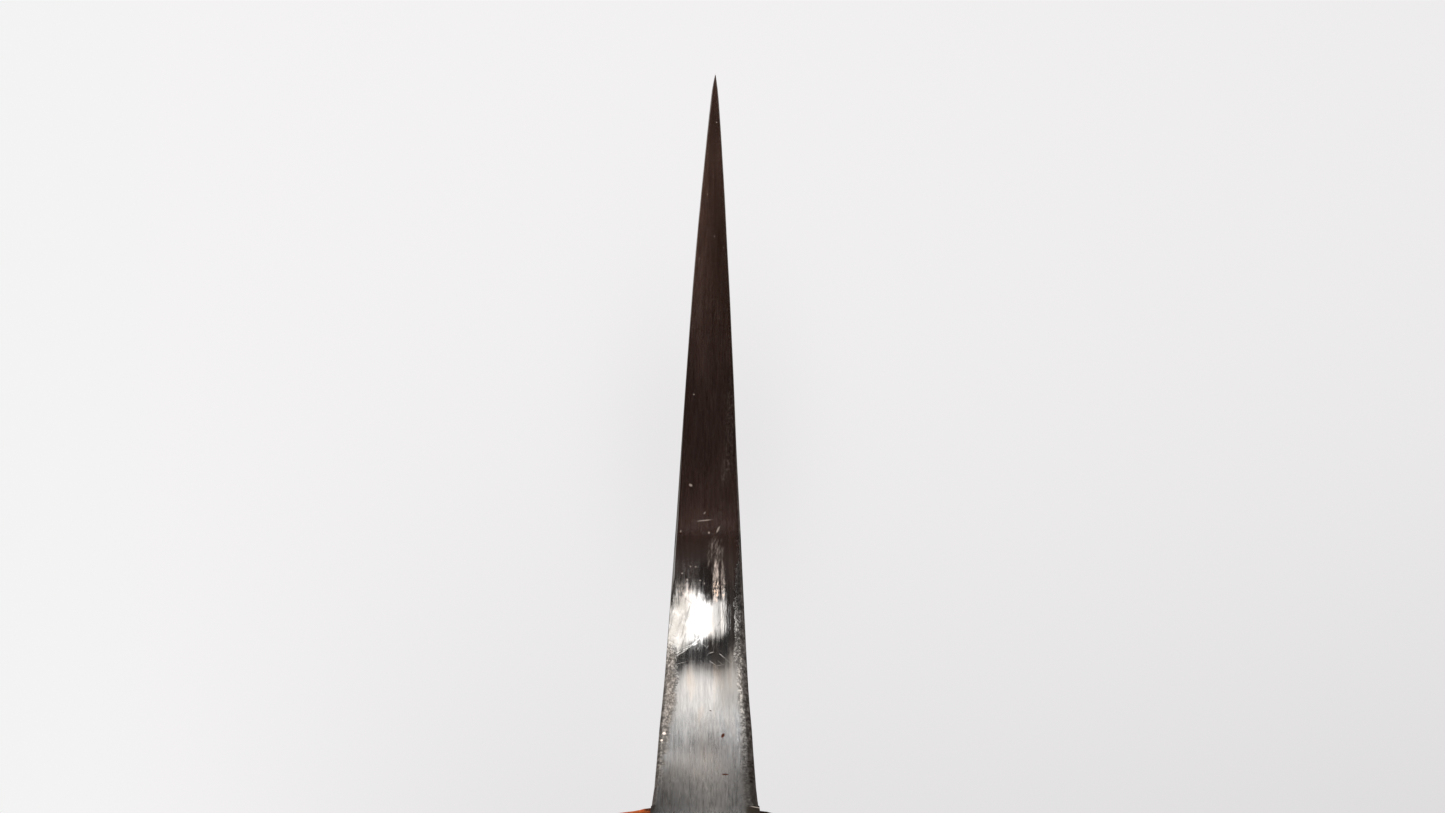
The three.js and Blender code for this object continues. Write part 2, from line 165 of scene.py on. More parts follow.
def low_z(x):
    x = np.asarray(x, float)
    t = np.clip((LOW_ROUND_X - x) / (LOW_ROUND_X - TANG_END), 0, 1)
    rounded = handle_low(LOW_ROUND_X) + 4.6 * quarter_round(t)
    return np.where(x >= LOW_ROUND_X, handle_low(x), rounded)


def rivet_z(x):
    return float(top_z(x) + low_z(x)) / 2


def choil_z(x):
    """Underside between handle and heel: the straight neck, then a quarter circle down."""
    past = np.maximum(0, np.asarray(x, float) - (HEEL_X - CHOIL_R))
    arc = -(NECK + CHOIL_R) + np.sqrt(np.maximum(0, CHOIL_R**2 - past**2))
    return np.where(past <= 0, -NECK, arc)


def half_thickness(side, x, z):
    """Distance of the steel's surface from the middle plane."""
    face, bevel = (left_face, LEFT_BEVEL) if side > 0 else (right_face, RIGHT_BEVEL)
    x, z = np.broadcast_arrays(np.asarray(x, float), np.asarray(z, float))
    ground = face(np.minimum(z + HEEL_H, bevel))
    fade = grind_fade(np.clip(HEEL_X - x, 0, HEEL_X))
    neck = ground * (1 - fade) + STOCK / 2 * fade
    tall = np.maximum(1e-6, spine_z(x) - edge_z(x))
    height = (z - edge_z(x)) * HEEL_H / tall
    blade = face(np.clip(np.minimum(height, bevel), 0, None)) * thickness(x) / STOCK
    return np.where(x <= 0, STOCK / 2, np.where(x <= HEEL_X, neck, blade))


# ---- mesh helpers ---------------------------------------------------------------------------
def make_mesh(name, verts, faces):
    """A mesh object from points in millimetres."""
    mesh = bpy.data.meshes.new(name)
    mesh.from_pydata([tuple(np.asarray(v) * MM) for v in verts], [], faces)
    mesh.validate()
    mesh.update()
    piece = bpy.data.objects.new(name, mesh)
    scene.collection.objects.link(piece)
    return piece


def merge(piece, dist=2e-7):
    """Weld points closer than dist (metres) and turn all faces outward."""
    bm = bmesh.new()
    bm.from_mesh(piece.data)
    bmesh.ops.remove_doubles(bm, verts=bm.verts, dist=dist)
    bmesh.ops.dissolve_degenerate(bm, dist=dist, edges=bm.edges)
    bmesh.ops.recalc_face_normals(bm, faces=bm.faces)
    bm.to_mesh(piece.data)
    bm.free()


def sharp_by_angle(piece, degrees):
    """Smooth faces, with edges bent more than the angle left sharp."""
    bm = bmesh.new()
    bm.from_mesh(piece.data)
    limit = math.radians(degrees)
    for edge in bm.edges:
        if len(edge.link_faces) == 2:
            edge.smooth = edge.calc_face_angle(0) < limit
    for face in bm.faces:
        face.smooth = True
    bm.to_mesh(piece.data)
    bm.free()


def lathe(name, profile, x, segments=96):
    """Turned solid on the rivet axis at x, from (radius, y) pairs that start and end at 0."""
    z = rivet_z(x)
    verts, rings = [], []
    for radius, y in profile:
        count = segments if radius else 1
        rings.append(list(range(len(verts), len(verts) + count)))
        for k in range(count):
            angle = 2 * math.pi * k / segments
            verts.append((x + radius * math.cos(angle), y, z + radius * math.sin(angle)))
    faces = []
    for a, b in zip(rings[:-1], rings[1:]):
        for k in range(segments):
            m = (k + 1) % segments
            if len(a) == 1:
                faces.append((a[0], b[k], b[m]))
            elif len(b) == 1:
                faces.append((a[k], b[0], a[m]))
            else:
                faces.append((a[k], b[k], b[m], a[m]))
    piece = make_mesh(name, verts, faces)
    merge(piece)
    sharp_by_angle(piece, 35)
    return piece


def drill(x, radius, start, end, segments):
    """Cylinder on the rivet axis at x, from y = start to y = end, for cutting a hole."""
    return lathe("drill", [(0, start), (radius, start), (radius, end), (0, end)], x, segments)


def cut(piece, tools):
    for tool in tools:
        modifier = piece.modifiers.new("cut", "BOOLEAN")
        modifier.operation, modifier.solver, modifier.object = "DIFFERENCE", "EXACT", tool
        bpy.context.view_layer.objects.active = piece
        with bpy.context.temp_override(
                object=piece, active_object=piece, selected_objects=[piece]):
            bpy.ops.object.modifier_apply(modifier=modifier.name)
    for tool in tools:
        bpy.data.objects.remove(tool)


# ---- blade, neck and tang -------------------------------------------------------------------
CORNER_STEPS = 6  # faces round each eased corner
MIDDLE_STEPS = 26  # faces across the flat between the corners
SPINE_EASE = 0.32


def blade_rows():
    """Heights above the edge, at the heel; dense over the lower grind and at the bevels."""
    rows = list(np.arange(0, 15.001, 0.25))
    rows[1:1] = [0.06, 0.14]
    rows += [15.6, 16.4, 17.4, 18.6, 20, 21.5, 23, 24.3, 25.08, RIGHT_BEVEL, 25.32, 26.2,
             27.08, LEFT_BEVEL, 27.32, 29, 32, 35, 37.5, 39.2, 40.2, HEEL_H]
    return np.array(rows)


def blade_columns():
    """Stations in x from tang end to tip, and the number of the heel's station."""
    columns = [-112, -111.9, -111.7, -111.3, -110.8, -110.1, -109.2, -108.2, -107.2, -106, -104.5]
    columns += list(np.arange(-103, -3.0, 2.5)) + [-3, -2, -1.2, -0.6, -0.2, 0]
    columns += list(np.arange(0.12, 7.99, 0.12))
    arc = np.radians(np.arange(0, 90.01, 1.0))
    columns += list(HEEL_X - CHOIL_R + CHOIL_R * np.sin(arc))
    heel = len(columns) - 1
    columns += list(np.arange(17, 140, 1.5)) + list(np.arange(140.5, 160, 1.0))
    columns += list(np.arange(160, 165.6, 0.5)) + [165.75, 165.9, TIP_X]
    return np.array(columns, float), heel


def ripple(x, y, z, side, amount):
    """Hand-worked unevenness of the eased corners."""
    coarse = noise.noise(Vector((x * 2.2, y * 5.0, z * 2.2 + 11 * side)))
    fine = noise.noise(Vector((x * 5.5, y * 9.0, z * 5.5 - 7 * side)))
    return amount * (0.7 * coarse + 0.45 * fine)


def choil_roll(run, y):
    """Inward offset of the choil's surface, which rolls over towards both sides."""
    weight = smooth_step(run, 15.2, 18.0) * (1 - smooth_step(run, 19.4, 22.4))
    return weight * (0.15 * max(0.0, y - 0.40) ** 2 + 0.05 * max(0.0, -0.75 - y) ** 2)


class BladeMesh:
    """Two side grids of columns i and rows j, joined by strips round the outline.

    The outline runs clockwise seen from -Y: heel face, choil, neck and tang underside,
    tang end, then forward along the spine.
    """

    def __init__(self):
        self.verts, self.index = [], {}
        columns, self.heel = blade_columns()
        rows = blade_rows()
        self.choil_row = int(np.argmin(abs(rows - HEEL_FACE)))
        self.last, self.end = len(rows) - 1, len(columns) - 1
        self.grid_x = np.repeat(columns[:, None], len(rows), axis=1)
        self.grid_z = np.zeros_like(self.grid_x)
        behind = (rows - rows[self.choil_row]) / (HEEL_H - rows[self.choil_row])
        for i, x in enumerate(columns):
            if i >= self.heel:
                self.grid_z[i] = edge_z(x) + rows / HEEL_H * (spine_z(x) - edge_z(x))
            else:
                low = low_z(x) if x < 0 else choil_z(x)
                high = top_z(x) if x < 0 else 0.0
                self.grid_z[i] = low + behind * (high - low)
        self.half = {
            side: half_thickness(side, self.grid_x, self.grid_z) for side in (LEFT, RIGHT)}
        self.edge_y = EDGE_OFFSET * thickness(columns) / STOCK
        self.trace_outline()
        self.eases = {side: self.corner_eases(side) for side in (LEFT, RIGHT)}

    def trace_outline(self):
        """Grid places, points, inward directions and running length of the outline."""
        heel, choil_row, last, end = self.heel, self.choil_row, self.last, self.end
        outline = [(heel, j) for j in range(choil_row)]
        outline += [(i, choil_row) for i in range(heel, -1, -1)]
        self.under_count = len(outline)
        outline += [(0, j) for j in range(choil_row + 1, last)]
        outline += [(i, last) for i in range(end + 1)]
        self.outline = outline
        self.place = {ij: k for k, ij in enumerate(outline)}
        points = np.array([(self.grid_x[ij], self.grid_z[ij]) for ij in outline])
        tangents = np.zeros_like(points)
        tangents[1:-1] = points[2:] - points[:-2]
        tangents[0], tangents[-1] = points[1] - points[0], points[-1] - points[-2]
        tangents /= np.maximum(np.linalg.norm(tangents, axis=1, keepdims=True), 1e-9)
        self.points = points
        self.inward = np.stack([tangents[:, 1], -tangents[:, 0]], 1)
        self.run = np.zeros(len(outline))
        self.run[1:] = np.cumsum(np.linalg.norm(np.diff(points, axis=0), axis=1))

    def corner_ease(self, side, k):
        """How far the corner is eased; the left corner of choil and neck is eased more."""
        i, j = self.outline[k]
        x, z = self.points[k]
        if i >= self.end or x < 0:
            return 0.0
        under = k < self.under_count
        run = self.run[k]
        if not under:
            ease = SPINE_EASE
        elif i == self.heel and j <= self.choil_row:  # heel face
            ease = 0.03 + 0.05 * clamp01((z + HEEL_H - 11) / 4)
        else:  # choil and neck
            past_heel = clamp01((HEEL_X - x) / 10)
            grown = smooth_step(run, 15, 20)
            by_run, by_x = (0.19, 0.04) if side > 0 else (0.06, 0.05)
            ease = 0.08 + by_run * grown + by_x * past_heel
        if under and side < 0:  # crisper on the right in the choil's hollow
            hollow = clamp01((run - 16.6) / 0.8) * clamp01((20.2 - run) / 0.8)
            ease *= 1 - 0.75 * smooth01(hollow)
        if x < 1.5:  # dies out towards the wood
            ease *= math.sqrt(min(1.0, x / 0.9)) if under else x / 1.5
        total = float(half_thickness(LEFT, x, z) + half_thickness(RIGHT, x, z))
        return min(ease, 0.22 * total)

    def corner_eases(self, side):
        """Eases round the outline, wandering a little as hand work does."""
        eases = np.array([self.corner_ease(side, k) for k in range(len(self.outline))])
        wander = np.array([
            noise.noise(Vector((x * 0.9, z * 0.9, 5.0 * side))) for x, z in self.points])
        return eases * (1 + 0.22 * wander)

    def side_vertex(self, side, i, j):
        """Number of a side grid's vertex; both sides share the tip and the cutting edge."""
        on_edge = i >= self.heel and j == 0
        key = "tip" if i == self.end else ("edge", i) if on_edge else (side, i, j)
        if key in self.index:
            return self.index[key]
        x, z = self.grid_x[i, j], self.grid_z[i, j]
        if i == self.end:
            y = 0.0
        elif on_edge:
            y = self.edge_y[i]
        elif (i, j) in self.place:
            k = self.place[(i, j)]
            ease = self.eases[side][k]
            x, z = x + self.inward[k][0] * ease, z + self.inward[k][1] * ease
            y = side * float(half_thickness(side, x, z))
        else:
            y = side * self.half[side][i, j]
        self.index[key] = len(self.verts)
        self.verts.append((x, y, z))
        return self.index[key]

    def ring(self, k):
        """Vertices across the thickness at outline point k, from left to right."""
        i, j = self.outline[k]
        if i == self.end or (i >= self.heel and j == 0):
            return [self.side_vertex(LEFT, i, j)] * (2 * CORNER_STEPS + MIDDLE_STEPS + 1)
        x, z = self.points[k]
        inward_x, inward_z = self.inward[k]
        half = {side: float(half_thickness(side, x, z)) for side in (LEFT, RIGHT)}
        under = k < self.under_count
        rough = 0.0
        if under and x >= 0:
            rough = 0.05 * clamp01((HEEL_X - x) / 6) * min(1.0, x / 0.3)

        def roll(y):
            return choil_roll(self.run[k], y) if under and x > 0.5 else 0.0

        def add(y, depth):
            self.verts.append((x + inward_x * depth, y, z + inward_z * depth))
            return len(self.verts) - 1

        def corner(side, step):
            if step == 0:
                return self.side_vertex(side, i, j)
            angle = step / CORNER_STEPS * math.pi / 2
            ease = self.eases[side][k]
            y = side * (half[side] - ease * (1 - math.cos(angle)))
            strength = rough * (1.0 if side > 0 else 0.6)
            depth = 0.0
            if rough:
                depth = ripple(x, y, z, side, strength * (0.35 + math.sin(2 * angle)))
            depth = max(-0.012, depth) + roll(y) * (step / CORNER_STEPS)
            return add(y, ease * (1 - math.sin(angle)) + depth)

        found = [corner(LEFT, step) for step in range(CORNER_STEPS + 1)]
        left_y = half[LEFT] - self.eases[LEFT][k]
        right_y = -half[RIGHT] + self.eases[RIGHT][k]
        for step in range(1, MIDDLE_STEPS):
            y = left_y + (right_y - left_y) * (step / MIDDLE_STEPS)
            depth = roll(y)
            if rough:
                near = max(0.0, 1 - (left_y - y) / 0.22)
                depth += 0.6 * rough * near * ripple(x, y, z, LEFT, 1.0)
            found.append(add(y, depth))
        return found + [corner(RIGHT, step) for step in range(CORNER_STEPS, -1, -1)]

    def build(self):
        faces = []

        def add_face(*corners):
            distinct = tuple(dict.fromkeys(corners))
            if len(distinct) >= 3:
                faces.append(distinct)

        for side in (LEFT, RIGHT):
            for i in range(self.end):
                for j in range(0 if i >= self.heel else self.choil_row, self.last):
                    places = ((i, j), (i + 1, j), (i + 1, j + 1), (i, j + 1))
                    quad = [self.side_vertex(side, *ij) for ij in places]
                    add_face(*(reversed(quad) if side > 0 else quad))
        previous = self.ring(0)
        for k in range(1, len(self.outline)):
            current = self.ring(k)
            for q in range(len(current) - 1):
                add_face(previous[q + 1], current[q + 1], current[q], previous[q])
            previous = current
        piece = make_mesh("blade", self.verts, faces)
        merge(piece)
        return piece


def build_blade():
    piece = BladeMesh().build()
    cut(piece, [drill(x, TUBE_R + CLEAR, -5, 5, 64) for x in RIVET_X.values()])
    sharp_by_angle(piece, 40)
    return piece


def read_vectors(items, name):
    flat = np.zeros(len(items) * 3, np.float32)
    items.foreach_get(name, flat)
    return flat.reshape(-1, 3)


def mark_blade(piece):
    """Drawing coordinates at the points, and a material number on each face."""
    mesh = piece.data
    x, y, z = (read_vectors(mesh.vertices, "co").astype(float) / MM).T
    # distance along heel face, choil, neck and belly, from the cutting edge's corner
    choil_x, choil_low = HEEL_X - CHOIL_R, NECK + CHOIL_R
    turned = np.arctan2(np.clip(z + NECK + CHOIL_R, 0, None), np.clip(x - choil_x, 1e-6, None))
    along = np.where(z < -choil_low, z + HEEL_H, 0.0)
    along = np.where((z >= -choil_low) & (x > choil_x), HEEL_FACE + CHOIL_R * turned, along)
    neck_start = HEEL_FACE + CHOIL_R * math.pi / 2
    along = np.where(x <= choil_x, neck_start + (choil_x - x), along)
    tall = np.maximum(0.5, spine_z(x) - edge_z(x))
    attributes = {
        "s_mm": along,
        "h_mm": np.where(x >= HEEL_X, (z - edge_z(x)) * HEEL_H / tall, z + HEEL_H),
        "from_right": y + half_thickness(RIGHT, x, z),
        "from_left": half_thickness(LEFT, x, z) - y,
    }
    for name, values in attributes.items():
        attribute = mesh.attributes.new(name, "FLOAT", "POINT")
        attribute.data.foreach_set("value", values.astype(np.float32))

    normals = read_vectors(mesh.polygons, "normal")
    centres = read_vectors(mesh.polygons, "center") / MM
    material_index = np.zeros(len(mesh.polygons), np.int32)
    is_side = np.abs(normals[:, 1]) > 0.94
    material_index[is_side] = 1
    material_index[(~is_side) & (normals[:, 2] > 0.15) & (centres[:, 2] > -36)] = 2
    mesh.polygons.foreach_set("material_index", material_index)


# ---- handle scales --------------------------------------------------------------------------
SCALE_INNER = STOCK / 2 + 0.004
SECTION_STEPS = 96
# End edges broken by sanding: (x, radius)
BROKEN_ENDS = ((0.0, 0.12), (TANG_END, 0.5))


def scale_stations():
    xs = [-112, -111.97, -111.9, -111.75, -111.5, -111.2, -110.8, -110.3, -109.7, -109,
          -108.2, -107.2, -106]
    xs += list(np.arange(-105, -12.0, 1.0))
    xs += list(-NOSE * (1 - np.sin(np.linspace(0, math.pi / 2, 46))))[:-1]
    xs += [-0.4, -0.28, -0.2, -0.13, -0.07, -0.03, -0.005]
    return sorted(set(round(float(x), 5) for x in xs))


def section_width(x):
    width = float(crown_width(x))
    if x > -NOSE:
        return NOSE_W + (width - NOSE_W) * math.sqrt(max(0, 1 - ((x + NOSE) / NOSE) ** 2))
    if x < TANG_END + BUTT_ROUND:
        return width - 2.6 * float(quarter_round((TANG_END + BUTT_ROUND - x) / BUTT_ROUND))
    return width


def section_power(x):
    if x <= -NOSE:
        return CROWN_P
    return CROWN_P + (NOSE_P - CROWN_P) * smooth01((x + NOSE) / NOSE)


def soft_min(a, b, reach):
    """Smooth minimum: the side flat runs into the crown without a hard line."""
    share = max(reach - abs(a - b), 0) / reach
    return min(a, b) - share * share * reach * 0.25


def scale_section(side, x):
    """Points round the scale's section at x, half a superellipse cut by the side flat."""
    broken = 0.0
    for end_x, radius in BROKEN_ENDS:
        away = abs(x - end_x)
        if away < radius:
            broken = max(broken, radius - math.sqrt(max(0, radius**2 - (radius - away) ** 2)))
    width = section_width(x) - 0.8 * broken
    high, low = float(top_z(x)) - 0.35 * broken, float(low_z(x)) + 0.35 * broken
    if x > -6:  # the underside rises unevenly at the front
        low += (0.16 if side > 0 else 0.07) * smooth01(1 + x / 6)
        low += 0.018 * max(0, 1 + x / 3) * noise.noise(Vector((x * 1.7, 3.0, side * 4.0)))
    middle, half_height = (high + low) / 2, (high - low) / 2
    power = section_power(x)
    start = math.acos((SCALE_INNER / width) ** (power / 2))
    points = []
    for k in range(SECTION_STEPS + 1):
        t = start * (2 * k / SECTION_STEPS - 1)
        y = SCALE_INNER
        if k not in (0, SECTION_STEPS):
            y = width * math.cos(t) ** (2 / power)
        z = middle + half_height * math.copysign(abs(math.sin(t)) ** (2 / power), t)
        y = max(SCALE_INNER, soft_min(y, SIDE_FLAT, 0.25))
        if x > -1.5 and z < middle:  # a low ridge against the steel
            ridge = clamp01((2.08 - y) / 0.18) * clamp01((x + 1.5) / 0.8)
            z -= (0.055 if side < 0 else 0.05) * smooth01(ridge)
        points.append((x, side * y, z))
    return points


def build_scale(side):
    stations = scale_stations()
    verts = [point for x in stations for point in scale_section(side, x)]
    count = SECTION_STEPS + 1
    faces = []
    for i in range(len(stations) - 1):
        for k in range(count):
            m = (k + 1) % count
            faces.append((i * count + k, i * count + m, (i + 1) * count + m,
                          (i + 1) * count + k))
    faces.append(tuple(range(count)))
    faces.append(tuple((len(stations) - 1) * count + k for k in range(count)))
    name = "scale_left_wood" if side > 0 else "scale_right_wood"
    piece = make_mesh(name, verts, faces)
    merge(piece)
    tools = []
    for x in RIVET_X.values():
        outside = side * 12
        tools.append(drill(x, TUBE_R + CLEAR, 0, outside, 64))
        tools.append(drill(x, HEAD_R + HEAD_CLEAR, side * (HEAD_IN - CLEAR), outside, 96))
    cut(piece, tools)
    sharp_by_angle(piece, 50)
    return piece


# ---- rivets ---------------------------------------------------------------------------------
# Head flush with the wood, its rim dressed over: (radius, drop below the flat)
HEAD_PROFILE = (
    (0, 0), (2.6, 0.002), (3.2, 0.008), (3.5, 0.022), (3.66, 0.05), (3.73, 0.1),
    (HEAD_R, 0.18), (HEAD_R, HEAD_T))
# Shanks: (radius, y)
TUBE_PROFILE = [
    (TUBE_R, HEAD_IN), (TUBE_R, -5.5), (TUBE_R - 0.1, -5.6), (BORE_R + 0.1, -5.6),
    (BORE_R, -5.5), (BORE_R, 5.4), (0, 5.4)]
PIN_PROFILE = [(PIN_R, -HEAD_IN), (PIN_R, 4.4), (PIN_R - 0.25, 4.9), (0, 4.9)]


def build_rivets():
    """Pairs of a rivet half and the name of what it replaces."""
    halves = []
    for place, x in RIVET_X.items():
        for side, kind, shank in ((LEFT, "tubed", TUBE_PROFILE), (RIGHT, "pinned", PIN_PROFILE)):
            head = [(radius, side * (SIDE_FLAT - drop)) for radius, drop in HEAD_PROFILE]
            name = place + "_rivet_" + kind
            halves.append((lathe(name, head + shank, x), name + "_half"))
    return halves


blade = build_blade()
scales = {side: build_scale(side) for side in (LEFT, RIGHT)}
rivets = build_rivets()
mark_blade(blade)


# ---- shader node helpers --------------------------------------------------------------------
def binary(operation, swapped=False):
    def apply(self, other):
        first, second = (other, self) if swapped else (self, other)
        return self.nodes.math(operation, first, second)

    return apply


class Signal:
    """An output socket to reckon with: each operation adds a node. a | b is the larger."""

    def __init__(self, nodes, socket):
        self.nodes, self.socket = nodes, socket

    __add__, __radd__ = binary("ADD"), binary("ADD", swapped=True)
    __sub__, __rsub__ = binary("SUBTRACT"), binary("SUBTRACT", swapped=True)
    __mul__, __pow__, __or__ = binary("MULTIPLY"), binary("POWER"), binary("MAXIMUM")
    __gt__, __lt__ = binary("GREATER_THAN"), binary("LESS_THAN")

    def __abs__(self):
        return self.math("ABSOLUTE")

    def math(self, operation, other=None):
        return self.nodes.math(operation, self, other)

    def add_clamped(self, other):
        return self.nodes.math("ADD", self, other, clamp=True)

    def positive(self):
        return self.nodes.math("MAXIMUM", 0.0, self)

    def ease(self, start, end, low=0.0, high=1.0, smooth=True):
        """From low at start to high at end, held beyond them; end may lie below start."""
        kind = "SMOOTHSTEP" if smooth else "LINEAR"
        return self.nodes.signal(
            "ShaderNodeMapRange", {0: self, 1: start, 2: end, 3: low, 4: high},
            interpolation_type=kind, clamp=True)

    def band(self, start, full, fading, end):
        """Rises from start to full, stays at 1, and falls from fading to end."""
        return self.ease(start, full) * self.ease(end, fading)

    def ramp(self, stops, mode="LINEAR"):
        """Colour from (position, colour) stops."""
        node = self.nodes.node("ShaderNodeValToRGB", {0: self})
        node.color_ramp.interpolation = mode
        elements = node.color_ramp.elements
        while len(elements) < len(stops):
            elements.new(0.5)
        for element, (position, colour) in zip(elements, stops):
            element.position = position
            element.color = (*colour, 1)
        return Signal(self.nodes, node.outputs[0])

    def profile(self, stops, mode="LINEAR"):
        """Value from (position, value) stops."""
        return self.ramp([(place, (value,) * 3) for place, value in stops], mode).split()[0]

    def mix(self, low, high):
        """Blend of two values, with this as the factor."""
        return self.nodes.signal("ShaderNodeMix", {0: self, 2: low, 3: high}, data_type="FLOAT")

    def toward(self, colour, factor):
        return self.nodes.mix_colour(factor, self, colour)

    def times(self, colour, factor=1.0):
        return self.nodes.mix_colour(factor, self, colour, blend="MULTIPLY")

    def split(self):
        node = self.nodes.node("ShaderNodeSeparateXYZ", {0: self})
        return [Signal(self.nodes, output) for output in node.outputs]

    def stretch(self, x, y, z):
        return self.nodes.vector_math("MULTIPLY", self, (x, y, z))

    def noise(self, scale=1.0, detail=2.0, rough=0.5, distort=0.0):
        return self.nodes.signal("ShaderNodeTexNoise", {
            "Vector": self, "Scale": scale, "Detail": detail, "Roughness": rough,
            "Distortion": distort}, output="Fac")

    def cells(self, scale):
        """Distance to the nearest of scattered points."""
        return self.nodes.signal(
            "ShaderNodeTexVoronoi", {"Vector": self, "Scale": scale}, output="Distance")

    def bump(self, distance, normal=None, strength=1.0):
        """Normal for this height; distance is in metres."""
        inputs = {"Strength": strength, "Distance": distance, "Height": self}
        if normal is not None:
            inputs["Normal"] = normal
        return self.nodes.signal("ShaderNodeBump", inputs)


class Nodes:
    """An emptied node tree that nodes are added to."""

    def __init__(self, tree):
        self.tree = tree
        tree.nodes.clear()

    def node(self, kind, inputs=None, **settings):
        node = self.tree.nodes.new(kind)
        for name, value in settings.items():
            setattr(node, name, value)
        for key, value in (inputs or {}).items():
            self.put(node.inputs[key], value)
        return node

    def put(self, socket, value):
        if isinstance(value, Signal):
            self.tree.links.new(value.socket, socket)
        elif isinstance(value, tuple) and socket.type == "RGBA":
            socket.default_value = (*value, 1)
        else:
            socket.default_value = value

    def signal(self, kind, inputs=None, output=0, **settings):
        return Signal(self, self.node(kind, inputs, **settings).outputs[output])

    def math(self, operation, first, second=None, clamp=False):
        inputs = {0: first} if second is None else {0: first, 1: second}
        return self.signal("ShaderNodeMath", inputs, operation=operation, use_clamp=clamp)

    def vector_math(self, operation, first, second=None):
        inputs = {0: first} if second is None else {0: first, 1: second}
        return self.signal("ShaderNodeVectorMath", inputs, operation=operation)

    def mix_colour(self, factor, first, second, blend="MIX"):
        inputs = {0: factor, 6: first, 7: second}
        return self.signal(
            "ShaderNodeMix", inputs, output=2, data_type="RGBA", blend_type=blend)

    def attribute(self, name):
        return self.signal("ShaderNodeAttribute", output="Fac", attribute_name=name)

    def position_mm(self):
        return self.signal("ShaderNodeTexCoord", output="Object").stretch(1000.0, 1000.0, 1000.0)


def combine(x, y, z):
    return x.nodes.signal("ShaderNodeCombineXYZ", {0: x, 1: y, 2: z})


def grey(value):
    return combine(value, value, value)


def make_material(name, surface, **details):
    """Material whose Principled inputs are what the surface function returns."""
    material = bpy.data.materials.new(name)
    material.use_nodes = True
    nodes = Nodes(material.node_tree)
    shader = nodes.signal("ShaderNodeBsdfPrincipled", surface(nodes, **details))
    nodes.node("ShaderNodeOutputMaterial", {0: shader})
    return material


# ---- steel: heel face, choil, neck and tang edge --------------------------------------------
# Places on this ribbon are y (right side negative) and the distance along it from the
# cutting edge's corner: heel face to 15, choil to 27.6, neck to 35.6.
RIBBON_LENGTH = 40.0
RIBBON_HALF = 1.6
MAX_STRAY = 20.0
# Distance redrawn so that brush strokes run the whole neck: (distance, drawn distance)
DRAWN_MAX = 30.0
DRAWN = ((0, 0.0), (24, 24), (27.6, 25.55), (35.6, 26.7), (40, 27.3))
# Painted light and shade on the steel, standing in for how bright its reflection is: (distance,
# factor)
PAINTED_LIGHTNESS = (
    (0, 1.12), (1.8, 1.12), (3.0, 1.72), (4.7, 1.62), (5.7, 1.18), (6.4, 0.96), (8.6, 0.55),
    (10.4, 0.33), (12.4, 0.28), (14.2, 0.38), (15.2, 0.58), (16.4, 1.0), (22.4, 1.0),
    (23.1, 1.26), (24.2, 1.24), (25.2, 0.97), (26.4, 0.82), (28.0, 0.74), (31.2, 0.68),
    (35.4, 0.62), (36.6, 0.62))
# Width of the worn rims: (distance, width)
RIGHT_RIM = (
    (16.0, 0.0), (18.6, 0.0), (19.6, 0.28), (20.4, 0.44), (22.2, 0.40), (24.0, 0.28),
    (27.0, 0.15), (36.0, 0.08))
LEFT_RIM = (
    (12.0, 0.0), (15.0, 0.04), (16.2, 0.12), (17.2, 0.28), (19.6, 0.34), (22.0, 0.37),
    (25.0, 0.41), (28.0, 0.45), (36.0, 0.45))
# Painted light and shade along the left rim: (distance, factor)
LEFT_RIM_TONE = (
    (15.0, 0.5), (17.0, 0.5), (18.1, 0.85), (18.8, 1.6), (19.5, 1.95), (20.2, 2.6),
    (21.3, 2.6), (22.6, 1.45), (26.0, 0.9), (36.0, 0.8))
# Painted grey halo over the hollow, dimming its reflection: (y, strength)
HALO = (
    (0.08, 0.0), (0.28, 0.60), (0.46, 0.80), (0.60, 0.30), (0.74, 0.15), (0.84, 0.56), (1.0, 0.6))
# How far the hollow's slope strays from a true arc: (y, degrees of reflection)
STRAY_UPPER = (
    (-1.5, -4.6), (-1.2, -3.8), (-0.96, -2.2), (-0.72, -0.1), (-0.45, 1.6), (-0.18, -1.2),
    (0.03, -6.0), (0.16, -7.5), (0.32, -1.6), (0.52, -3.8), (0.78, -8.0), (1.2, -12.0))
STRAY_LOWER = (
    (-1.5, -13.0), (-1.2, -12.5), (-0.92, -8.6), (-0.65, -3.6), (-0.35, -1.3), (-0.05, 0.4),
    (0.22, 2.9), (0.42, 0.9), (0.60, 3.8), (0.82, 8.0), (1.2, 10.0))
STRAY_FOOT = (
    (-1.5, -8.0), (-1.2, -8.0), (-0.92, -5.0), (-0.65, 1.2), (-0.35, 1.3), (-0.05, -0.4),
    (0.25, -1.5), (0.5, -1.4), (0.82, 0.0), (1.1, 8.0), (1.3, 8.0))
# Tooth strength in the reflection: (distance, strength)
TEETH = (
    (15.5, 0.0), (16.5, 0.62), (17.3, 0.72), (18.4, 0.5), (19.0, 0.46), (19.6, 0.30),
    (20.4, 0.12), (22.5, 0.04), (24.0, 0.0))
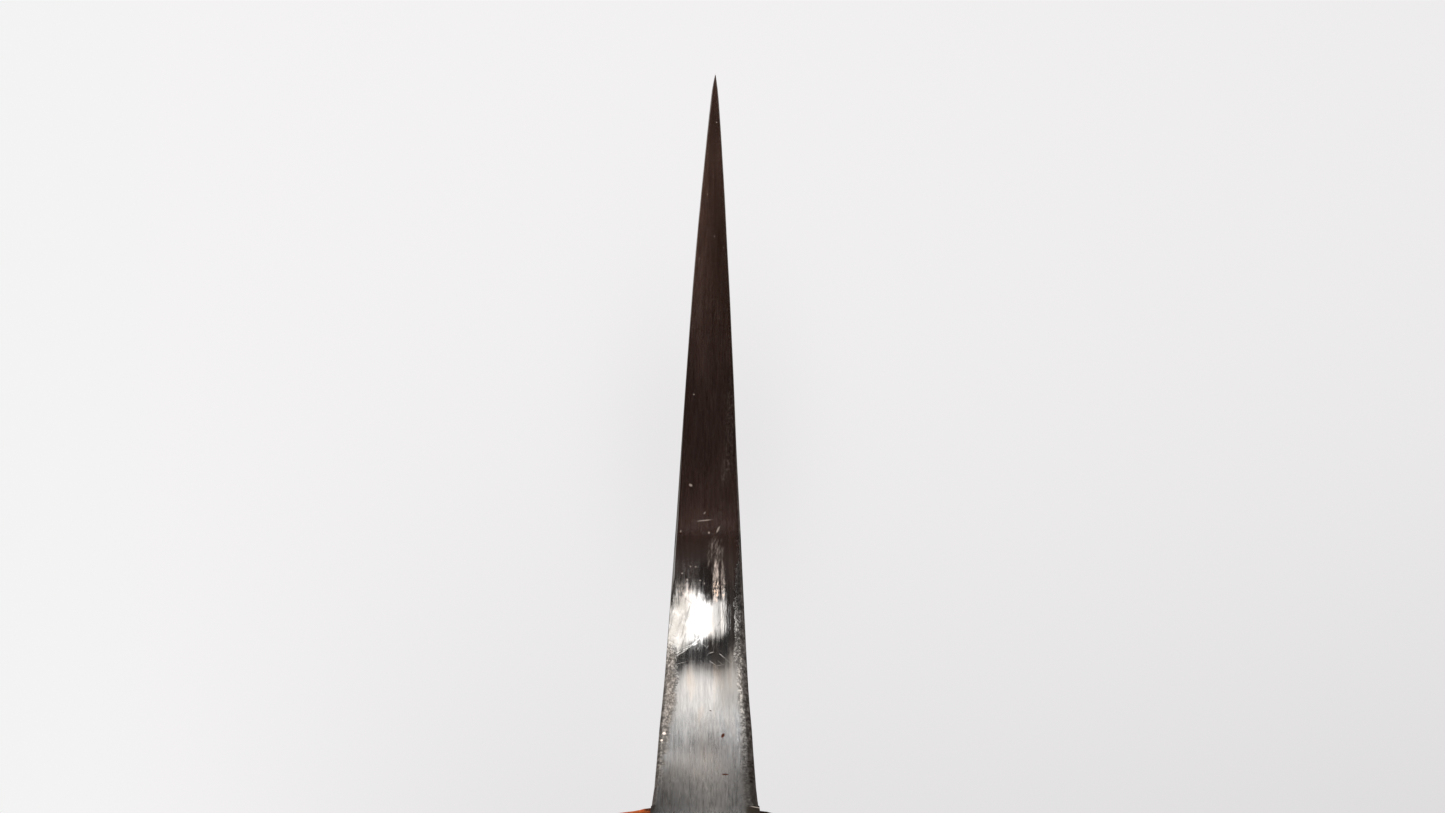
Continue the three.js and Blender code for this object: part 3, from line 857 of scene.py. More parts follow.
# Spots: (y, distance, radius in y, radius along, turn in radians)
RUST = (
    (0.565, 23.12, 0.060, 0.15, 0.25), (0.64, 26.0, 0.13, 0.10, 0.1),
    (0.16, 21.87, 0.045, 0.022, 0.5))
# Painted glints: spots that glow, in the same columns as the rust spots
GLINT_SPOTS = (
    (-0.505, 13.73, 0.066, 0.046, 0.5), (-0.06, 14.91, 0.27, 0.022, -0.10),
    (-0.04, 14.66, 0.020, 0.060, 0.7), (-1.37, 23.0, 0.060, 0.075, 0.0),
    (-1.45, 23.38, 0.045, 0.065, 0.0), (0.36, 1.63, 0.022, 0.022, 0.0),
    (0.06, 4.03, 0.018, 0.018, 0.0), (0.29, 5.43, 0.02, 0.02, 0.0),
    (-0.21, 6.17, 0.02, 0.02, 0.0), (-0.40, 10.7, 0.03, 0.022, 0.0),
    (-0.19, 16.92, 0.036, 0.024, 0.0), (-0.05, 17.02, 0.024, 0.034, 0.0),
    (-0.51, 16.45, 0.024, 0.026, 0.0), (-0.34, 16.46, 0.034, 0.020, 0.0),
    (-0.79, 16.68, 0.032, 0.026, 0.0), (-0.62, 16.90, 0.034, 0.034, 0.0),
    (0.105, 15.32, 0.038, 0.038, 0.0), (0.41, 15.21, 0.032, 0.13, 0.45),
    (-0.84, 15.27, 0.022, 0.04, 0.3))
# Cross scratches: a spot and its strength
CROSS = (
    (-0.66, 19.33, 0.50, 0.020, -0.48, 1.0), (-0.86, 19.52, 0.34, 0.018, -0.62, 0.9),
    (-0.52, 19.20, 0.30, 0.016, -0.40, 0.9), (-0.35, 19.08, 0.26, 0.020, -0.75, 0.8),
    (-0.95, 19.28, 0.26, 0.016, -0.85, 0.8), (-0.13, 19.74, 0.15, 0.020, 0.95, 0.8),
    (-0.62, 19.86, 0.05, 0.05, 0.0, 0.8), (-0.70, 19.72, 0.14, 0.016, 0.5, 0.6),
    (0.02, 19.30, 0.16, 0.014, -0.9, 0.5))
# Fine scratches: (turn in radians, fineness)
SCRATCHES = ((0.5, 1.0), (-0.9, 1.4), (1.3, 0.8))


class Ribbon:
    """The under surface's coordinates, noises and masks, and the inputs made from them."""

    def __init__(self, nodes):
        self.nodes = nodes
        self.x, self.y, _ = nodes.position_mm().split()
        self.along = nodes.attribute("s_mm")
        self.from_right = nodes.attribute("from_right")
        self.from_left = nodes.attribute("from_left")
        self.make_noises()
        self.make_marks()
        self.make_rims()
        self.make_seam()

    def track(self, stops):
        """A value that changes along the ribbon, from (distance, value) pairs."""
        place = self.along * (1 / RIBBON_LENGTH)
        return place.profile([(distance / RIBBON_LENGTH, value) for distance, value in stops])

    def across(self, stops):
        """A value within +-MAX_STRAY that changes across it, from (y, value) pairs."""
        width, span = 2 * RIBBON_HALF, 2 * MAX_STRAY
        place = (self.y + RIBBON_HALF) * (1 / width)
        scaled = [((y + RIBBON_HALF) / width, (v + MAX_STRAY) / span) for y, v in stops]
        return (place.profile(scaled, "B_SPLINE") - 0.5) * span

    def spot(self, y, along, radius_y, radius_along, turn):
        """A soft ellipse: 1 in its middle and 0 outside."""
        c, s = math.cos(turn), math.sin(turn)
        away_y, away_along = self.y - y, self.along - along
        u = away_y * (c / radius_y) + away_along * (s / radius_y)
        v = away_y * (-s / radius_along) + away_along * (c / radius_along)
        return (u * u + v * v).math("SQRT").ease(0.6, 1.15, 1.0, 0.0)

    def make_noises(self):
        y, along = self.y, self.along
        drawn = self.track([(a, value / DRAWN_MAX) for a, value in DRAWN]) * DRAWN_MAX
        self.drawn = drawn
        self.long_soft = combine(y * 1.0, along * 0.16, 3.0)
        self.plain = combine(y, along, 0.0)
        self.brush = combine(y * 1.0, drawn * 0.045, 0.0).noise(9.0, 5.0, 0.62)
        self.hair = combine(y + drawn * 0.012, drawn * 0.075, 2.0).noise(13.0, 3.0, 0.62)
        self.soft = self.long_soft.noise(2.1, 3.0, 0.55)
        self.grit = combine(y, along * 0.55, 7.0).noise(7.0, 4.0, 0.65)
        self.speck = combine(y, along * 0.7, 5.0).noise(14.0, 3.0, 0.7)
        # hairlines lean over, most towards the right side
        leaned = combine(y + drawn * y.ease(-1.6, 0.4, -0.07, -0.01), drawn * 0.12, 9.0)
        thread = leaned.noise(19.0, 2.0, 0.6)
        self.streak = self.brush * 0.22 + (self.hair * 0.38 + thread * 0.40)
        self.heelness = along.ease(16.6, 13.4)

    def make_marks(self):
        """Masks of separate marks on the steel: scratches, pits and rust, and spots that glow as
        painted glints.
        """
        y, along, spot = self.y, self.along, self.spot
        # rough scratches at the start of the choil; their peach tint is a painted highlight
        rise = (spot(0.37, 16.62, 0.17, 1.05, 0.04) | spot(-0.70, 16.95, 0.34, 0.62, 0.05) * 0.12
                | spot(0.50, 16.2, 0.18, 0.9, -0.25) * 0.6
                | spot(0.60, 16.95, 0.08, 0.62, 0.02) * 0.8)
        broken = combine(y * 20.0, along * 6.5, 1.0).noise(1.0, 4.0, 0.62)
        rise = rise * broken.ease(0.40, 0.62) * self.speck.ease(0.38, 0.60, 0.30, 1.0)
        self.rise = rise * along.ease(16.7, 17.3, 0.12, 1.0)
        # pits on the neck, in patches, and dust specks on the heel face, which glow as painted
        # glints
        pits = combine(y * 1.0, along * 0.5, 0.0).cells(3.6).ease(0.045, 0.085, 1.0, 0.0)
        self.pits = pits * self.plain.noise(1.6, 1.0).ease(0.57, 0.62) * along.ease(17.0, 20.0)
        self.dust_glints = self.plain.cells(1.9).ease(0.025, 0.05, 1.0, 0.0) * along.ease(17.0, 15.5)
        self.rust = reduce(or_, (spot(*row) for row in RUST))
        self.glint_spots = reduce(or_, (spot(*row) for row in GLINT_SPOTS))
        # painted glow: a pale haze near the start of the choil
        haze_glow = (spot(0.66, 13.25, 0.16, 0.55, 0.15) | spot(0.30, 15.9, 0.24, 0.40, -0.4) * 0.8
                 | spot(0.78, 12.0, 0.16, 1.9, 0.03) * 0.55
                 | spot(0.64, 14.95, 0.06, 0.16, 0.55) * 1.0
                 | spot(0.47, 14.55, 0.05, 0.34, 0.35) * 0.5)
        self.haze_glow = haze_glow * self.speck.ease(0.45, 0.70)

    def make_rims(self):
        """A rough strip beside either side face, and the broken corners themselves, found by
        which way they face; darkening them is painted shade.
        """
        along = self.along
        wobble = (self.plain.noise(1.7, 5.0, 0.7) - 0.5) * 0.60
        self.wobble = wobble
        right = (self.track(RIGHT_RIM) + wobble - self.from_right).ease(-0.10, 0.10)
        left = (self.track(LEFT_RIM) + wobble * 0.6 - self.from_left).ease(-0.09, 0.09)
        self.rim_right = right * along.ease(18.6, 19.8)
        self.rim_left = left * along.ease(11.0, 15.0)
        self.grains = (self.grit * 0.45 + self.speck * 0.55).ease(0.43, 0.58)
        self.normal = self.nodes.signal("ShaderNodeNewGeometry", output="Normal")
        _, normal_y, _ = self.normal.split()
        corner = (normal_y * -1.0).ease(0.22, 0.60) | normal_y.ease(0.10, 0.38)
        right_strength = self.track([
            (0, 0.45), (16.6, 0.45), (17.4, 0.08), (19.4, 0.08), (20.3, 0.45), (40, 0.45)])
        strength = (normal_y > 0.0).mix(right_strength, 0.85)
        self.corner = corner * self.x.ease(-0.5, 0.4) * strength

    def make_seam(self):
        """Painted shade where the neck meets the wood, a painted shadow on the left corner behind
        it, and a painted highlight line at the neck's left corner.
        """
        x, y = self.x, self.y
        reach = (x + self.wobble * 0.4).ease(0.55, 0.05) * x.ease(-9.0, -4.0)
        left = self.from_left.ease(0.36, 0.08) * x.ease(-0.6, -0.2)
        self.seam = reach * (self.from_right.ease(0.26, 0.08) | left)
        off = x + (y - 1.33).positive() * 3.6 + self.wobble * 0.2
        self.painted_shadow = y.ease(1.20, 1.42) * (off.ease(0.05, -0.35) * x.ease(-9.0, -4.0))
        self.seam_glint = y.ease(1.38, 1.50) * abs(off - 0.02).ease(0.34, 0.10)

    def steel_colour(self):
        """Streaky steel, warm on the heel and cooler on the neck."""
        y, along = self.y, self.along
        mixed = self.hair * 0.3 + (self.brush * 0.35 + self.soft * 0.35)
        warm = mixed.ramp([
            (0.34, (0.37, 0.32, 0.30)), (0.5, (0.60, 0.53, 0.50)), (0.66, (0.88, 0.79, 0.75))])
        polished = self.brush.ramp([
            (0.25, (0.56, 0.55, 0.545)), (0.5, (0.70, 0.69, 0.685)), (0.75, (0.84, 0.83, 0.82))])
        cool = self.streak.ramp([
            (0.28, (0.36, 0.365, 0.37)), (0.5, (0.66, 0.66, 0.66)), (0.72, (1.0, 0.99, 0.97))])
        colour = polished.toward(cool, along.ease(18.6, 22.5)).toward(warm, self.heelness)
        # painted light and shade: the neck lighter towards the left, the choil's middle darker at
        # the right
        tone = self.track(PAINTED_LIGHTNESS)
        tone = tone * along.ease(23.6, 26.0).mix(1.0, y.ease(-1.0, 0.5, 0.94, 1.14))
        darker = y.ease(-1.15, -0.62, 0.76, 1.0)
        tone = tone * along.band(20.4, 21.2, 23.6, 24.4).mix(1.0, darker)
        colour = colour.times(grey(tone))
        # painted shade: dark left side of the heel face
        heel_dark = self.heelness * self.track([
            (0, 0.0), (3.0, 0.6), (5.0, 1.0), (8.0, 0.8), (9.5, 0.25), (15.0, 0.2)])
        heel_dark = self.from_left.ease(1.15, 0.20) * heel_dark
        colour = colour.toward((0.17, 0.14, 0.12), heel_dark * 0.80)
        # painted shade: a near-black patch at the start of the choil, standing for a dark
        # reflection
        patch = (self.spot(0.02, 16.75, 0.34, 0.62, 0.10)
                 | self.spot(0.17, 17.05, 0.25, 0.36, 0.5) * 0.9)
        colour = colour.toward((0.12, 0.10, 0.095), patch * 0.62)
        # cool tint left of the middle, warm tint down the middle
        chill = y.ease(0.30, 0.75) * along.band(21.0, 22.6, 24.5, 28.0)
        colour = colour.times((0.80, 0.84, 0.89), chill * 0.5)
        warmth = self.long_soft.noise(2.2, 2.0, 0.5).ease(0.44, 0.66) * self.track([
            (15.5, 0.0), (17.0, 0.4), (19.0, 0.5), (20.2, 1.0), (22.2, 1.0), (23.6, 0.35),
            (27.0, 0.15)])
        middle = abs(y - 0.15).ease(0.95, 0.25, 0.36, 0.62)
        return colour.toward((0.84, 0.71, 0.60), warmth * middle)

    def shade_hollow_reflection(self, colour):
        """Painted shade and tint over the choil's polished hollow, shaping its reflection."""
        y, along = self.y, self.along
        # painted shade: dimmer and creamy towards the right
        cream = self.from_right.ease(0.95, 0.45) * along.band(16.4, 17.2, 19.5, 20.2)
        patchy = self.plain.noise(2.4, 4.0, 0.6).ease(0.25, 0.60, 0.45, 0.95)
        colour = colour.toward((0.34, 0.318, 0.292), cream * patchy)
        # painted shade: dark slanting feathers on the right, breaking up the reflection
        feather = combine((y + along * 0.30) * 9.0, along * 0.9, 11.0).noise(1.0, 4.0, 0.66)
        feather = feather.ease(0.50, 0.66) * (
            y.ease(-0.15, -0.62) * along.band(16.6, 17.4, 19.4, 20.2))
        feather = feather * along.ease(17.0, 19.0, 0.45, 0.85)
        colour = colour.toward((0.185, 0.178, 0.168), feather)
        # painted shade: a grey halo dimming the reflection towards the left
        haze = combine(y * 10.0, along * 0.7, 8.0).noise(1.0, 4.0, 0.65)
        halo = (y + (haze - 0.5) * 0.55).profile(HALO) * along.band(16.6, 17.5, 18.9, 19.5)
        colour = colour.toward((0.15, 0.146, 0.142), halo)
        # painted shade at the reflection's foot, towards the left
        foot = y.ease(0.22, 0.62) * along.band(19.4, 20.0, 21.2, 22.4)
        colour = colour.toward((0.27, 0.262, 0.25), foot * 0.58)
        # painted highlight: the rough scratches tinted peach
        colour = colour.toward((0.97, 0.64, 0.44), self.rise * 0.9)
        # painted highlight: pinkish specks towards the right
        rosy = self.spot(-0.66, 16.85, 0.42, 0.8, 0.05) * self.speck.ease(0.46, 0.70)
        return colour.toward((0.95, 0.74, 0.68), rosy * 0.45)

    def wear_and_painted_shade(self, colour):
        """Worn rims, pits and rust; painted shade on the corners and at the seam, and a painted
        shadow behind the neck's left corner.
        """
        right = self.grains.ramp([
            (0.0, (0.17, 0.145, 0.128)), (0.5, (0.36, 0.322, 0.29)), (1.0, (0.72, 0.655, 0.60))])
        left = self.grains.ramp([
            (0.0, (0.09, 0.083, 0.078)), (0.5, (0.20, 0.19, 0.18)), (1.0, (0.46, 0.44, 0.42))])
        # painted light and shade along the left rim
        left = left.times(grey(self.track(LEFT_RIM_TONE)))
        colour = colour.toward(right, self.rim_right * 0.80).toward(left, self.rim_left * 0.88)
        # painted shade on the side-facing corners
        dark = self.grit.ramp([
            (0.35, (0.035, 0.028, 0.025)), (0.6, (0.13, 0.105, 0.09)), (0.8, (0.40, 0.36, 0.32))])
        colour = colour.toward(dark, self.corner * 0.9)
        # painted shade at the seam, and a painted shadow behind the neck's left corner
        colour = colour.toward((0.04, 0.027, 0.02), self.seam * 0.85)
        colour = colour.toward((0.11, 0.084, 0.064), self.painted_shadow * 0.85)
        colour = colour.toward((0.12, 0.10, 0.09), self.pits * 0.6)
        return colour.toward((0.17, 0.055, 0.032), self.rust)

    def specular_tint(self):
        """Worn steel mirrors less at a glancing look than plain metal would; along the neck, on
        the corners, at the seam and in the painted shadow the lowered glancing reflection is
        painted shade.
        """
        y, along = self.y, self.along
        tint = self.track([
            (0, 1.0), (22.0, 1.0), (26.0, 0.95), (28.3, 0.74), (32.0, 0.52), (35.5, 0.40),
            (37.0, 0.45)])
        streaky = self.streak.ease(0.33, 0.67, 0.55, 1.45) * y.ease(-1.0, 0.5, 0.96, 1.18)
        tint = tint * along.ease(23.0, 28.0).mix(1.0, streaky)
        # worn rims, with painted shade on the corners and at the seam
        worn = self.rim_left * 0.8 | self.corner | (self.rim_right * 0.2 | self.seam)
        tint = worn.mix(tint, 0.42)
        rim = self.rim_left | self.rim_right | self.corner
        tint = tint * rim.mix(1.0, 0.42 + self.grains * 0.90)
        tint = self.rust.mix(self.painted_shadow.mix(tint, 0.26), 0.30)
        green, blue = (tint * (rim | self.rust).mix(1.0, share) for share in (0.92, 0.84))
        return combine(tint, green, blue)

    def glints(self):
        """Strength of the painted glints and glow: small bright marks that shine by themselves.
        """
        y, along, spot = self.y, self.along, self.spot
        # painted glints: dust specks and bright spots that glow
        bright = self.dust_glints * 0.22 | self.glint_spots
        glint = bright * along.ease(18.0, 20.0).mix(0.42, 1.7)
        # painted glow: a pale haze, and the highlight line at the seam
        glint = glint + self.haze_glow * 0.10 + self.seam_glint * 0.60
        # painted highlight: strands that glow along the start of the choil
        wisps = combine(y * 9.0 + along * 3.6, along * 1.6, 5.0).noise(1.0, 4.0, 0.62)
        wisps = wisps.ease(0.40, 0.66, 0.05, 1.0)
        strands = (spot(0.33, 16.95, 0.115, 0.78, 0.04)
                   + spot(0.56, 16.95, 0.065, 0.72, -0.02) * 0.62
                   + spot(0.32, 15.95, 0.28, 0.72, 0.16) * wisps * 0.34)
        broken = combine(y * 17.0, along * 3.8, 8.0).noise(1.0, 4.0, 0.70)
        strands = strands * broken.ease(0.39, 0.65, 0.05, 1.12)
        strands = strands * (
            along.ease(15.4, 16.5, 0.45, 0.95) * along.ease(16.7, 17.2, 1.0, 0.62))
        # painted glints: pale grains on the rims that glow
        rim_sparkle = combine(y, self.drawn * 0.8, 4.0).cells(6.5).ease(0.10, 0.20, 1.0, 0.0)
        rim_sparkle = rim_sparkle * (self.rim_left * 0.9 | self.rim_right)
        rim_sparkle = rim_sparkle * (self.speck.ease(0.50, 0.66) * along.ease(36.0, 34.5))
        return glint + strands + rim_sparkle * 0.50

    def roughness(self):
        y, along, heelness = self.y, self.along, self.heelness
        rough = along.ease(19.6, 22.8).mix(heelness.mix(0.095, 0.16), 0.28)
        rough = rough + (self.brush - 0.5) * heelness.mix(0.20, 0.10)
        rough = rough + (self.rust | self.pits) * 0.4 + self.rise * 0.28
        # two duller places towards the right of the hollow
        upper = y.ease(0.6, -0.4, 0.4, 1.0) * along.band(15.9, 16.4, 17.0, 17.6)
        lower = y.ease(0.05, -0.45) * along.band(18.7, 19.2, 19.8, 20.4)
        rough = rough + upper * 0.06 + lower * 0.055
        return rough.add_clamped((self.rim_right | self.rim_left | self.corner) * 0.18)

    def slope_stray(self):
        """Degrees by which reflections in the hollow stray from a true arc's."""
        y, along = self.y, self.along
        upper, lower, foot = (self.across(row) for row in (STRAY_UPPER, STRAY_LOWER, STRAY_FOOT))
        stray = along.ease(17.5, 19.0, smooth=False).mix(upper, lower)
        stray = along.ease(19.1, 20.0, smooth=False).mix(stray, foot)
        stray = stray * along.band(15.9, 17.0, 20.2, 22.4)
        cross = reduce(or_, (self.spot(*row[:5]) * row[5] for row in CROSS))
        cross = cross * self.plain.noise(7.0, 3.0, 0.6).ease(0.36, 0.58, 0.2, 1.0)
        fine = combine(y * 11.0, along * 0.9, 6.0).noise(1.0, 4.0, 0.65)
        coarse = combine(y * 3.2, along * 1.6, 2.5).noise(1.0, 3.0, 0.6)
        teeth = (fine - 0.5) * 1.0 + (coarse - 0.5) * 0.7
        return stray + self.rise * 16.5 - cross * 9.0 + teeth * (self.track(TEETH) * 26.0)

    def scratch(self, number, turn, fineness):
        c, s = math.cos(turn), math.sin(turn)
        u = self.y * c + self.along * s
        v = self.y * -s + self.along * c
        lines = combine(u * (16.0 * fineness), v * 0.9, 4.0 * number)
        return lines.noise(1.0, 1.0).ease(0.72, 0.76)

    def bumped_normal(self):
        nodes = self.nodes
        # the surface leans by half the reflection's angle
        lean = self.slope_stray() * (-0.5 * math.pi / 180)
        tangent = nodes.vector_math("CROSS_PRODUCT", (0.0, 1.0, 0.0), self.normal)
        tilt = nodes.vector_math("MULTIPLY", tangent, grey(lean))
        normal = nodes.vector_math("NORMALIZE", nodes.vector_math("ADD", self.normal, tilt))
        swell = self.soft * self.track([
            (0, 0.3), (15, 0.5), (17, 0.6), (20, 0.4), (22, 0.12), (40, 0.10)])
        normal = swell.bump(0.000012, normal)
        normal = (self.brush + self.hair * 0.8).bump(0.0000040, normal)
        scratches = reduce(or_, (self.scratch(k, *row) for k, row in enumerate(SCRATCHES)))
        scratches = scratches * self.along.band(16.6, 17.6, 19.0, 21.5)
        normal = (0.0 - (scratches * 0.5 | self.pits)).bump(0.000004, normal, strength=0.5)
        worn = self.grit * (self.rim_right | self.rim_left | self.corner)
        return worn.bump(0.000025, normal)


def under_steel(nodes):
    ribbon = Ribbon(nodes)
    return {
        "Base Color": ribbon.wear_and_painted_shade(ribbon.shade_hollow_reflection(ribbon.steel_colour())),
        "Metallic": 1.0,
        "Specular Tint": ribbon.specular_tint(),
        # painted glints and glow: the colour the small bright marks shine in
        "Emission Color": (0.63, 0.52, 0.455),
        "Emission Strength": ribbon.glints(),
        "Roughness": ribbon.roughness(),
        "Normal": ribbon.bumped_normal(),
    }


# ---- steel: sides and spine -----------------------------------------------------------------
def side_steel(nodes):
    """The flat is brushed along the blade, the ground bevel is brushed across it."""
    position = nodes.position_mm()
    x, y, z = position.split()
    height = nodes.attribute("h_mm")
    flat = (height - (y > 0.0).mix(RIGHT_BEVEL, LEFT_BEVEL)).ease(-0.12, 0.12)
    micro_bevel = height.ease(0.62, 0.50) * x.ease(15.9, 16.1)
    lengthwise = combine(x * 0.018, z * 1.0, y)
    crosswise = combine(x + z * 0.16, z * 0.035, y)
    hair_flat = lengthwise.noise(3.0, 6.0, 0.72)
    hair_bevel = crosswise.noise(2.4, 6.0, 0.72)
    broad_flat = lengthwise.noise(0.55, 2.0, 0.5)
    broad_bevel = crosswise.noise(0.28, 2.0, 0.5)
    cloud = position.noise(0.045, 4.0, 0.55, distort=0.4)
    mottle = position.noise(0.30, 5.0, 0.6)

    flat_colour = (hair_flat * 0.7 + broad_flat * 0.3).ramp([
        (0.30, (0.44, 0.435, 0.43)), (0.5, (0.61, 0.605, 0.60)), (0.72, (0.80, 0.795, 0.785))])
    bevel_colour = (hair_bevel * 0.7 + broad_bevel * 0.3).ramp([
        (0.30, (0.56, 0.56, 0.555)), (0.5, (0.71, 0.71, 0.705)), (0.72, (0.88, 0.88, 0.875))])
    patina = cloud.ramp([
        (0.30, (0.86, 0.89, 0.94)), (0.46, (1.0, 1.0, 1.0)), (0.60, (1.0, 0.98, 0.95)),
        (0.74, (0.90, 0.86, 0.82))])
    colour = bevel_colour.toward(flat_colour, flat).times(patina, 0.40)
    colour = colour.toward((0.30, 0.29, 0.29), mottle.ease(0.60, 0.80) * 0.08)
    colour = colour.toward((0.74, 0.74, 0.735), micro_bevel)
    # soft dark stains by the handle, and a few freckles
    stain = x.ease(12.0, 0.5) * mottle.ease(0.42, 0.62)
    colour = colour.toward((0.25, 0.225, 0.21), stain * 0.30)
    freckles = position.cells(0.42).ease(0.018, 0.05, 1.0, 0.0)
    freckles = freckles * position.noise(0.17, 1.0).ease(0.55, 0.60)
    colour = colour.toward((0.16, 0.11, 0.08), freckles * 0.45)

    rough = micro_bevel.mix(flat.mix(0.17, 0.25), 0.18)
    rough = rough + (flat.mix(hair_bevel, hair_flat) - 0.5) * 0.20 + (mottle - 0.5) * 0.06

    normal = position.stretch(0.6, 1.0, 1.0).noise(0.075, 2.0, 0.5).bump(0.00005)
    brushed = flat.mix(hair_bevel + broad_bevel * 0.7, hair_flat + broad_flat * 1.0)
    normal = brushed.bump(0.0000050, normal)
    scratches = combine(x * 0.22, (z + x * 0.35) * 5.0, 2.0).noise(1.0, 1.0).ease(0.715, 0.76)
    return {
        "Base Color": colour,
        "Metallic": 1.0,
        "Roughness": rough.add_clamped(freckles * 0.25),
        "Normal": (0.0 - scratches).bump(0.000003, normal, strength=0.5),
    }


def spine_steel(nodes):
    """Brushed lengthwise, with darker blots."""
    position = nodes.position_mm()
    x, y, z = position.split()
    hair = combine(x * 0.05, y * 1.0, z * 0.05).noise(12.0, 5.0, 0.65)
    blots = position.noise(0.35, 4.0, 0.6)
    colour = hair.ramp([
        (0.25, (0.46, 0.455, 0.45)), (0.5, (0.62, 0.615, 0.61)), (0.78, (0.80, 0.79, 0.78))])
    return {
        "Base Color": colour.toward((0.36, 0.33, 0.31), blots.ease(0.55, 0.75) * 0.35),
        "Metallic": 1.0,
        "Roughness": nodes.math("ADD", 0.26, (hair - 0.5) * 0.2, clamp=True),
        "Normal": hair.bump(0.000006, blots.bump(0.00003)),
    }


# ---- wood -----------------------------------------------------------------------------------
def wood(nodes, shift, centre_y, centre_z):
    """Red-brown wood with growth rings about an axis along X through the centre."""
    x, y, z = nodes.position_mm().split()
    place = combine(x + shift, y - centre_y, z - centre_z)
    wobble = place.stretch(0.05, 1.0, 1.0).noise(0.16, 3.0, 0.5)
    _, off_y, off_z = place.split()
    radius = (off_y * off_y + off_z * off_z * 0.35).math("SQRT") + wobble * 9.0
    ring = (radius * 0.42).math("FRACT").profile(
        [(0.0, 0.15), (0.25, 0.45), (0.72, 0.80), (0.93, 1.0), (1.0, 0.15)], "EASE")
    fibre = place.stretch(0.045, 1.0, 1.0).noise(5.5, 6.0, 0.65)
    fine = place.stretch(0.06, 1.0, 1.0).noise(17.0, 3.0, 0.6)
    cloud = place.stretch(0.12, 1.0, 1.0).noise(0.33, 3.0, 0.5)
    colour = (ring * 0.34 + fibre * 0.42 + cloud * 0.36).ramp([
        (0.30, (0.50, 0.150, 0.052)), (0.45, (0.375, 0.100, 0.036)), (0.58, (0.25, 0.060, 0.024)),
        (0.72, (0.125, 0.031, 0.015)), (0.90, (0.05, 0.017, 0.010))])
    # open pores: short dark dashes along the grain
    pores = place.stretch(0.16, 1.0, 1.0).cells(3.4).ease(0.10, 0.20, 1.0, 0.0)
    pores = pores * fine.ease(0.42, 0.60)
    colour = colour.toward((0.045, 0.014, 0.008), pores * 0.72)
    # painted light and shade on the lower front edge: lit bright on the right scale, shaded dark
    # on the left
    bright = (x + fibre * 1.6).ease(-3.0, -0.6) * (y < 0.0) * z.ease(-15.5, -17.2)
    orange = nodes.mix_colour(fine.ease(0.35, 0.65), (0.74, 0.125, 0.034), (1.0, 0.27, 0.080))
    colour = colour.toward(orange, bright * 0.85)
    # painted shade where the wood meets the steel
    by_steel = abs(y).ease(1.97, 1.82) * (x.ease(-2.5, -1.0) * z.ease(-15.5, -17.2))
    colour = colour.toward((0.060, 0.026, 0.018), by_steel * 0.9)
    # painted shade: dark on the left scale's lower front
    dark = x.ease(-3.0, -1.0) * ((y > 0.0) * z.ease(-16.4, -17.4))
    colour = colour.toward((0.050, 0.032, 0.022), dark * 0.8)
    # the front end has no sheen
    sheen = x.ease(-7.0, -3.0, 1.0, 0.0)
    normal = cloud.bump(0.00008)
    normal = (fibre + fine * 0.4).bump(0.00003, normal)
    return {
        "Base Color": colour,
        "Roughness": (0.36 + (fibre - 0.5) * 0.22).add_clamped(pores * 0.25),
        "IOR": 1.48,
        "Specular IOR Level": sheen * 0.4,
        "Coat Weight": sheen * 0.14,
        "Coat Roughness": 0.28,
        "Normal": (0.0 - pores).bump(0.00004, normal),
    }


# ---- rivet brass ----------------------------------------------------------------------------
def brass(nodes, seed):
    """Brushed brass; the seed turns the brushing and moves the stains."""
    x, _, z = nodes.position_mm().split()
    turn = 0.25 + 0.2 * seed
    u = x * math.cos(turn) + z * math.sin(turn)
    v = x * -math.sin(turn) + z * math.cos(turn)
    hair = combine(u * 0.12, v * 2.0, seed).noise(6.0, 5.0, 0.65)
    blots = combine(x, z, 5.0 + seed).noise(0.5, 4.0, 0.55)
    colour = hair.ramp([
        (0.25, (0.55, 0.38, 0.16)), (0.5, (0.76, 0.56, 0.27)), (0.8, (0.90, 0.72, 0.42))])
    rough = 0.22 + (hair - 0.5) * 0.2
    return {
        "Base Color": colour.toward((0.42, 0.26, 0.12), blots.ease(0.5, 0.72) * 0.4),
        "Metallic": 1.0,
        "Roughness": rough.add_clamped(blots.ease(0.5, 0.75) * 0.12),
        "Normal": hair.bump(0.000006, blots.bump(0.00002)),
    }


# the order matches the material numbers given by mark_blade
for name, surface in (("steel_heel_choil_neck", under_steel), ("steel_ground_faces", side_steel),
                      ("steel_spine", spine_steel)):
    blade.data.materials.append(make_material(name, surface))
scales[LEFT].data.materials.append(
    make_material("wood_left", wood, shift=31.0, centre_y=4.0, centre_z=14.0))
scales[RIGHT].data.materials.append(
    make_material("wood_right", wood, shift=62.0, centre_y=-3.0, centre_z=-44.0))
for k, (half, _) in enumerate(rivets):
    half.data.materials.append(make_material("rivet_brass_%d" % k, brass, seed=float(k)))


def attach(piece, node):
    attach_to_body(piece, "root")
    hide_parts(node)


attach(blade, "blade_and_tang")
attach(scales[LEFT], "scale_left")
attach(scales[RIGHT], "scale_right")
for half, node in rivets:
    attach(half, node)

# ---- floor ----------------------------------------------------------------------------------
FLOOR_X, FLOOR_Z = 27.0, -46.3
FLOOR_RADII = (30, 60, 90, 120, 150, 175, 200)
FLOOR_SEGMENTS = 96


def floor_surface(nodes):
    """Pale, fading out towards the rim, and clear seen from below."""
    x, y, _ = nodes.position_mm().split()
    off_x = x - FLOOR_X
    radius = (off_x * off_x + y * y).math("SQRT")
    above = 1.0 - nodes.signal("ShaderNodeNewGeometry", output="Backfacing")
    return {
        "Base Color": (0.50, 0.497, 0.497),
        "Roughness": 0.9,
        "Specular IOR Level": 0.1,
        "Alpha": above * radius.ease(110.0, 196.0, 1.0, 0.0),
    }


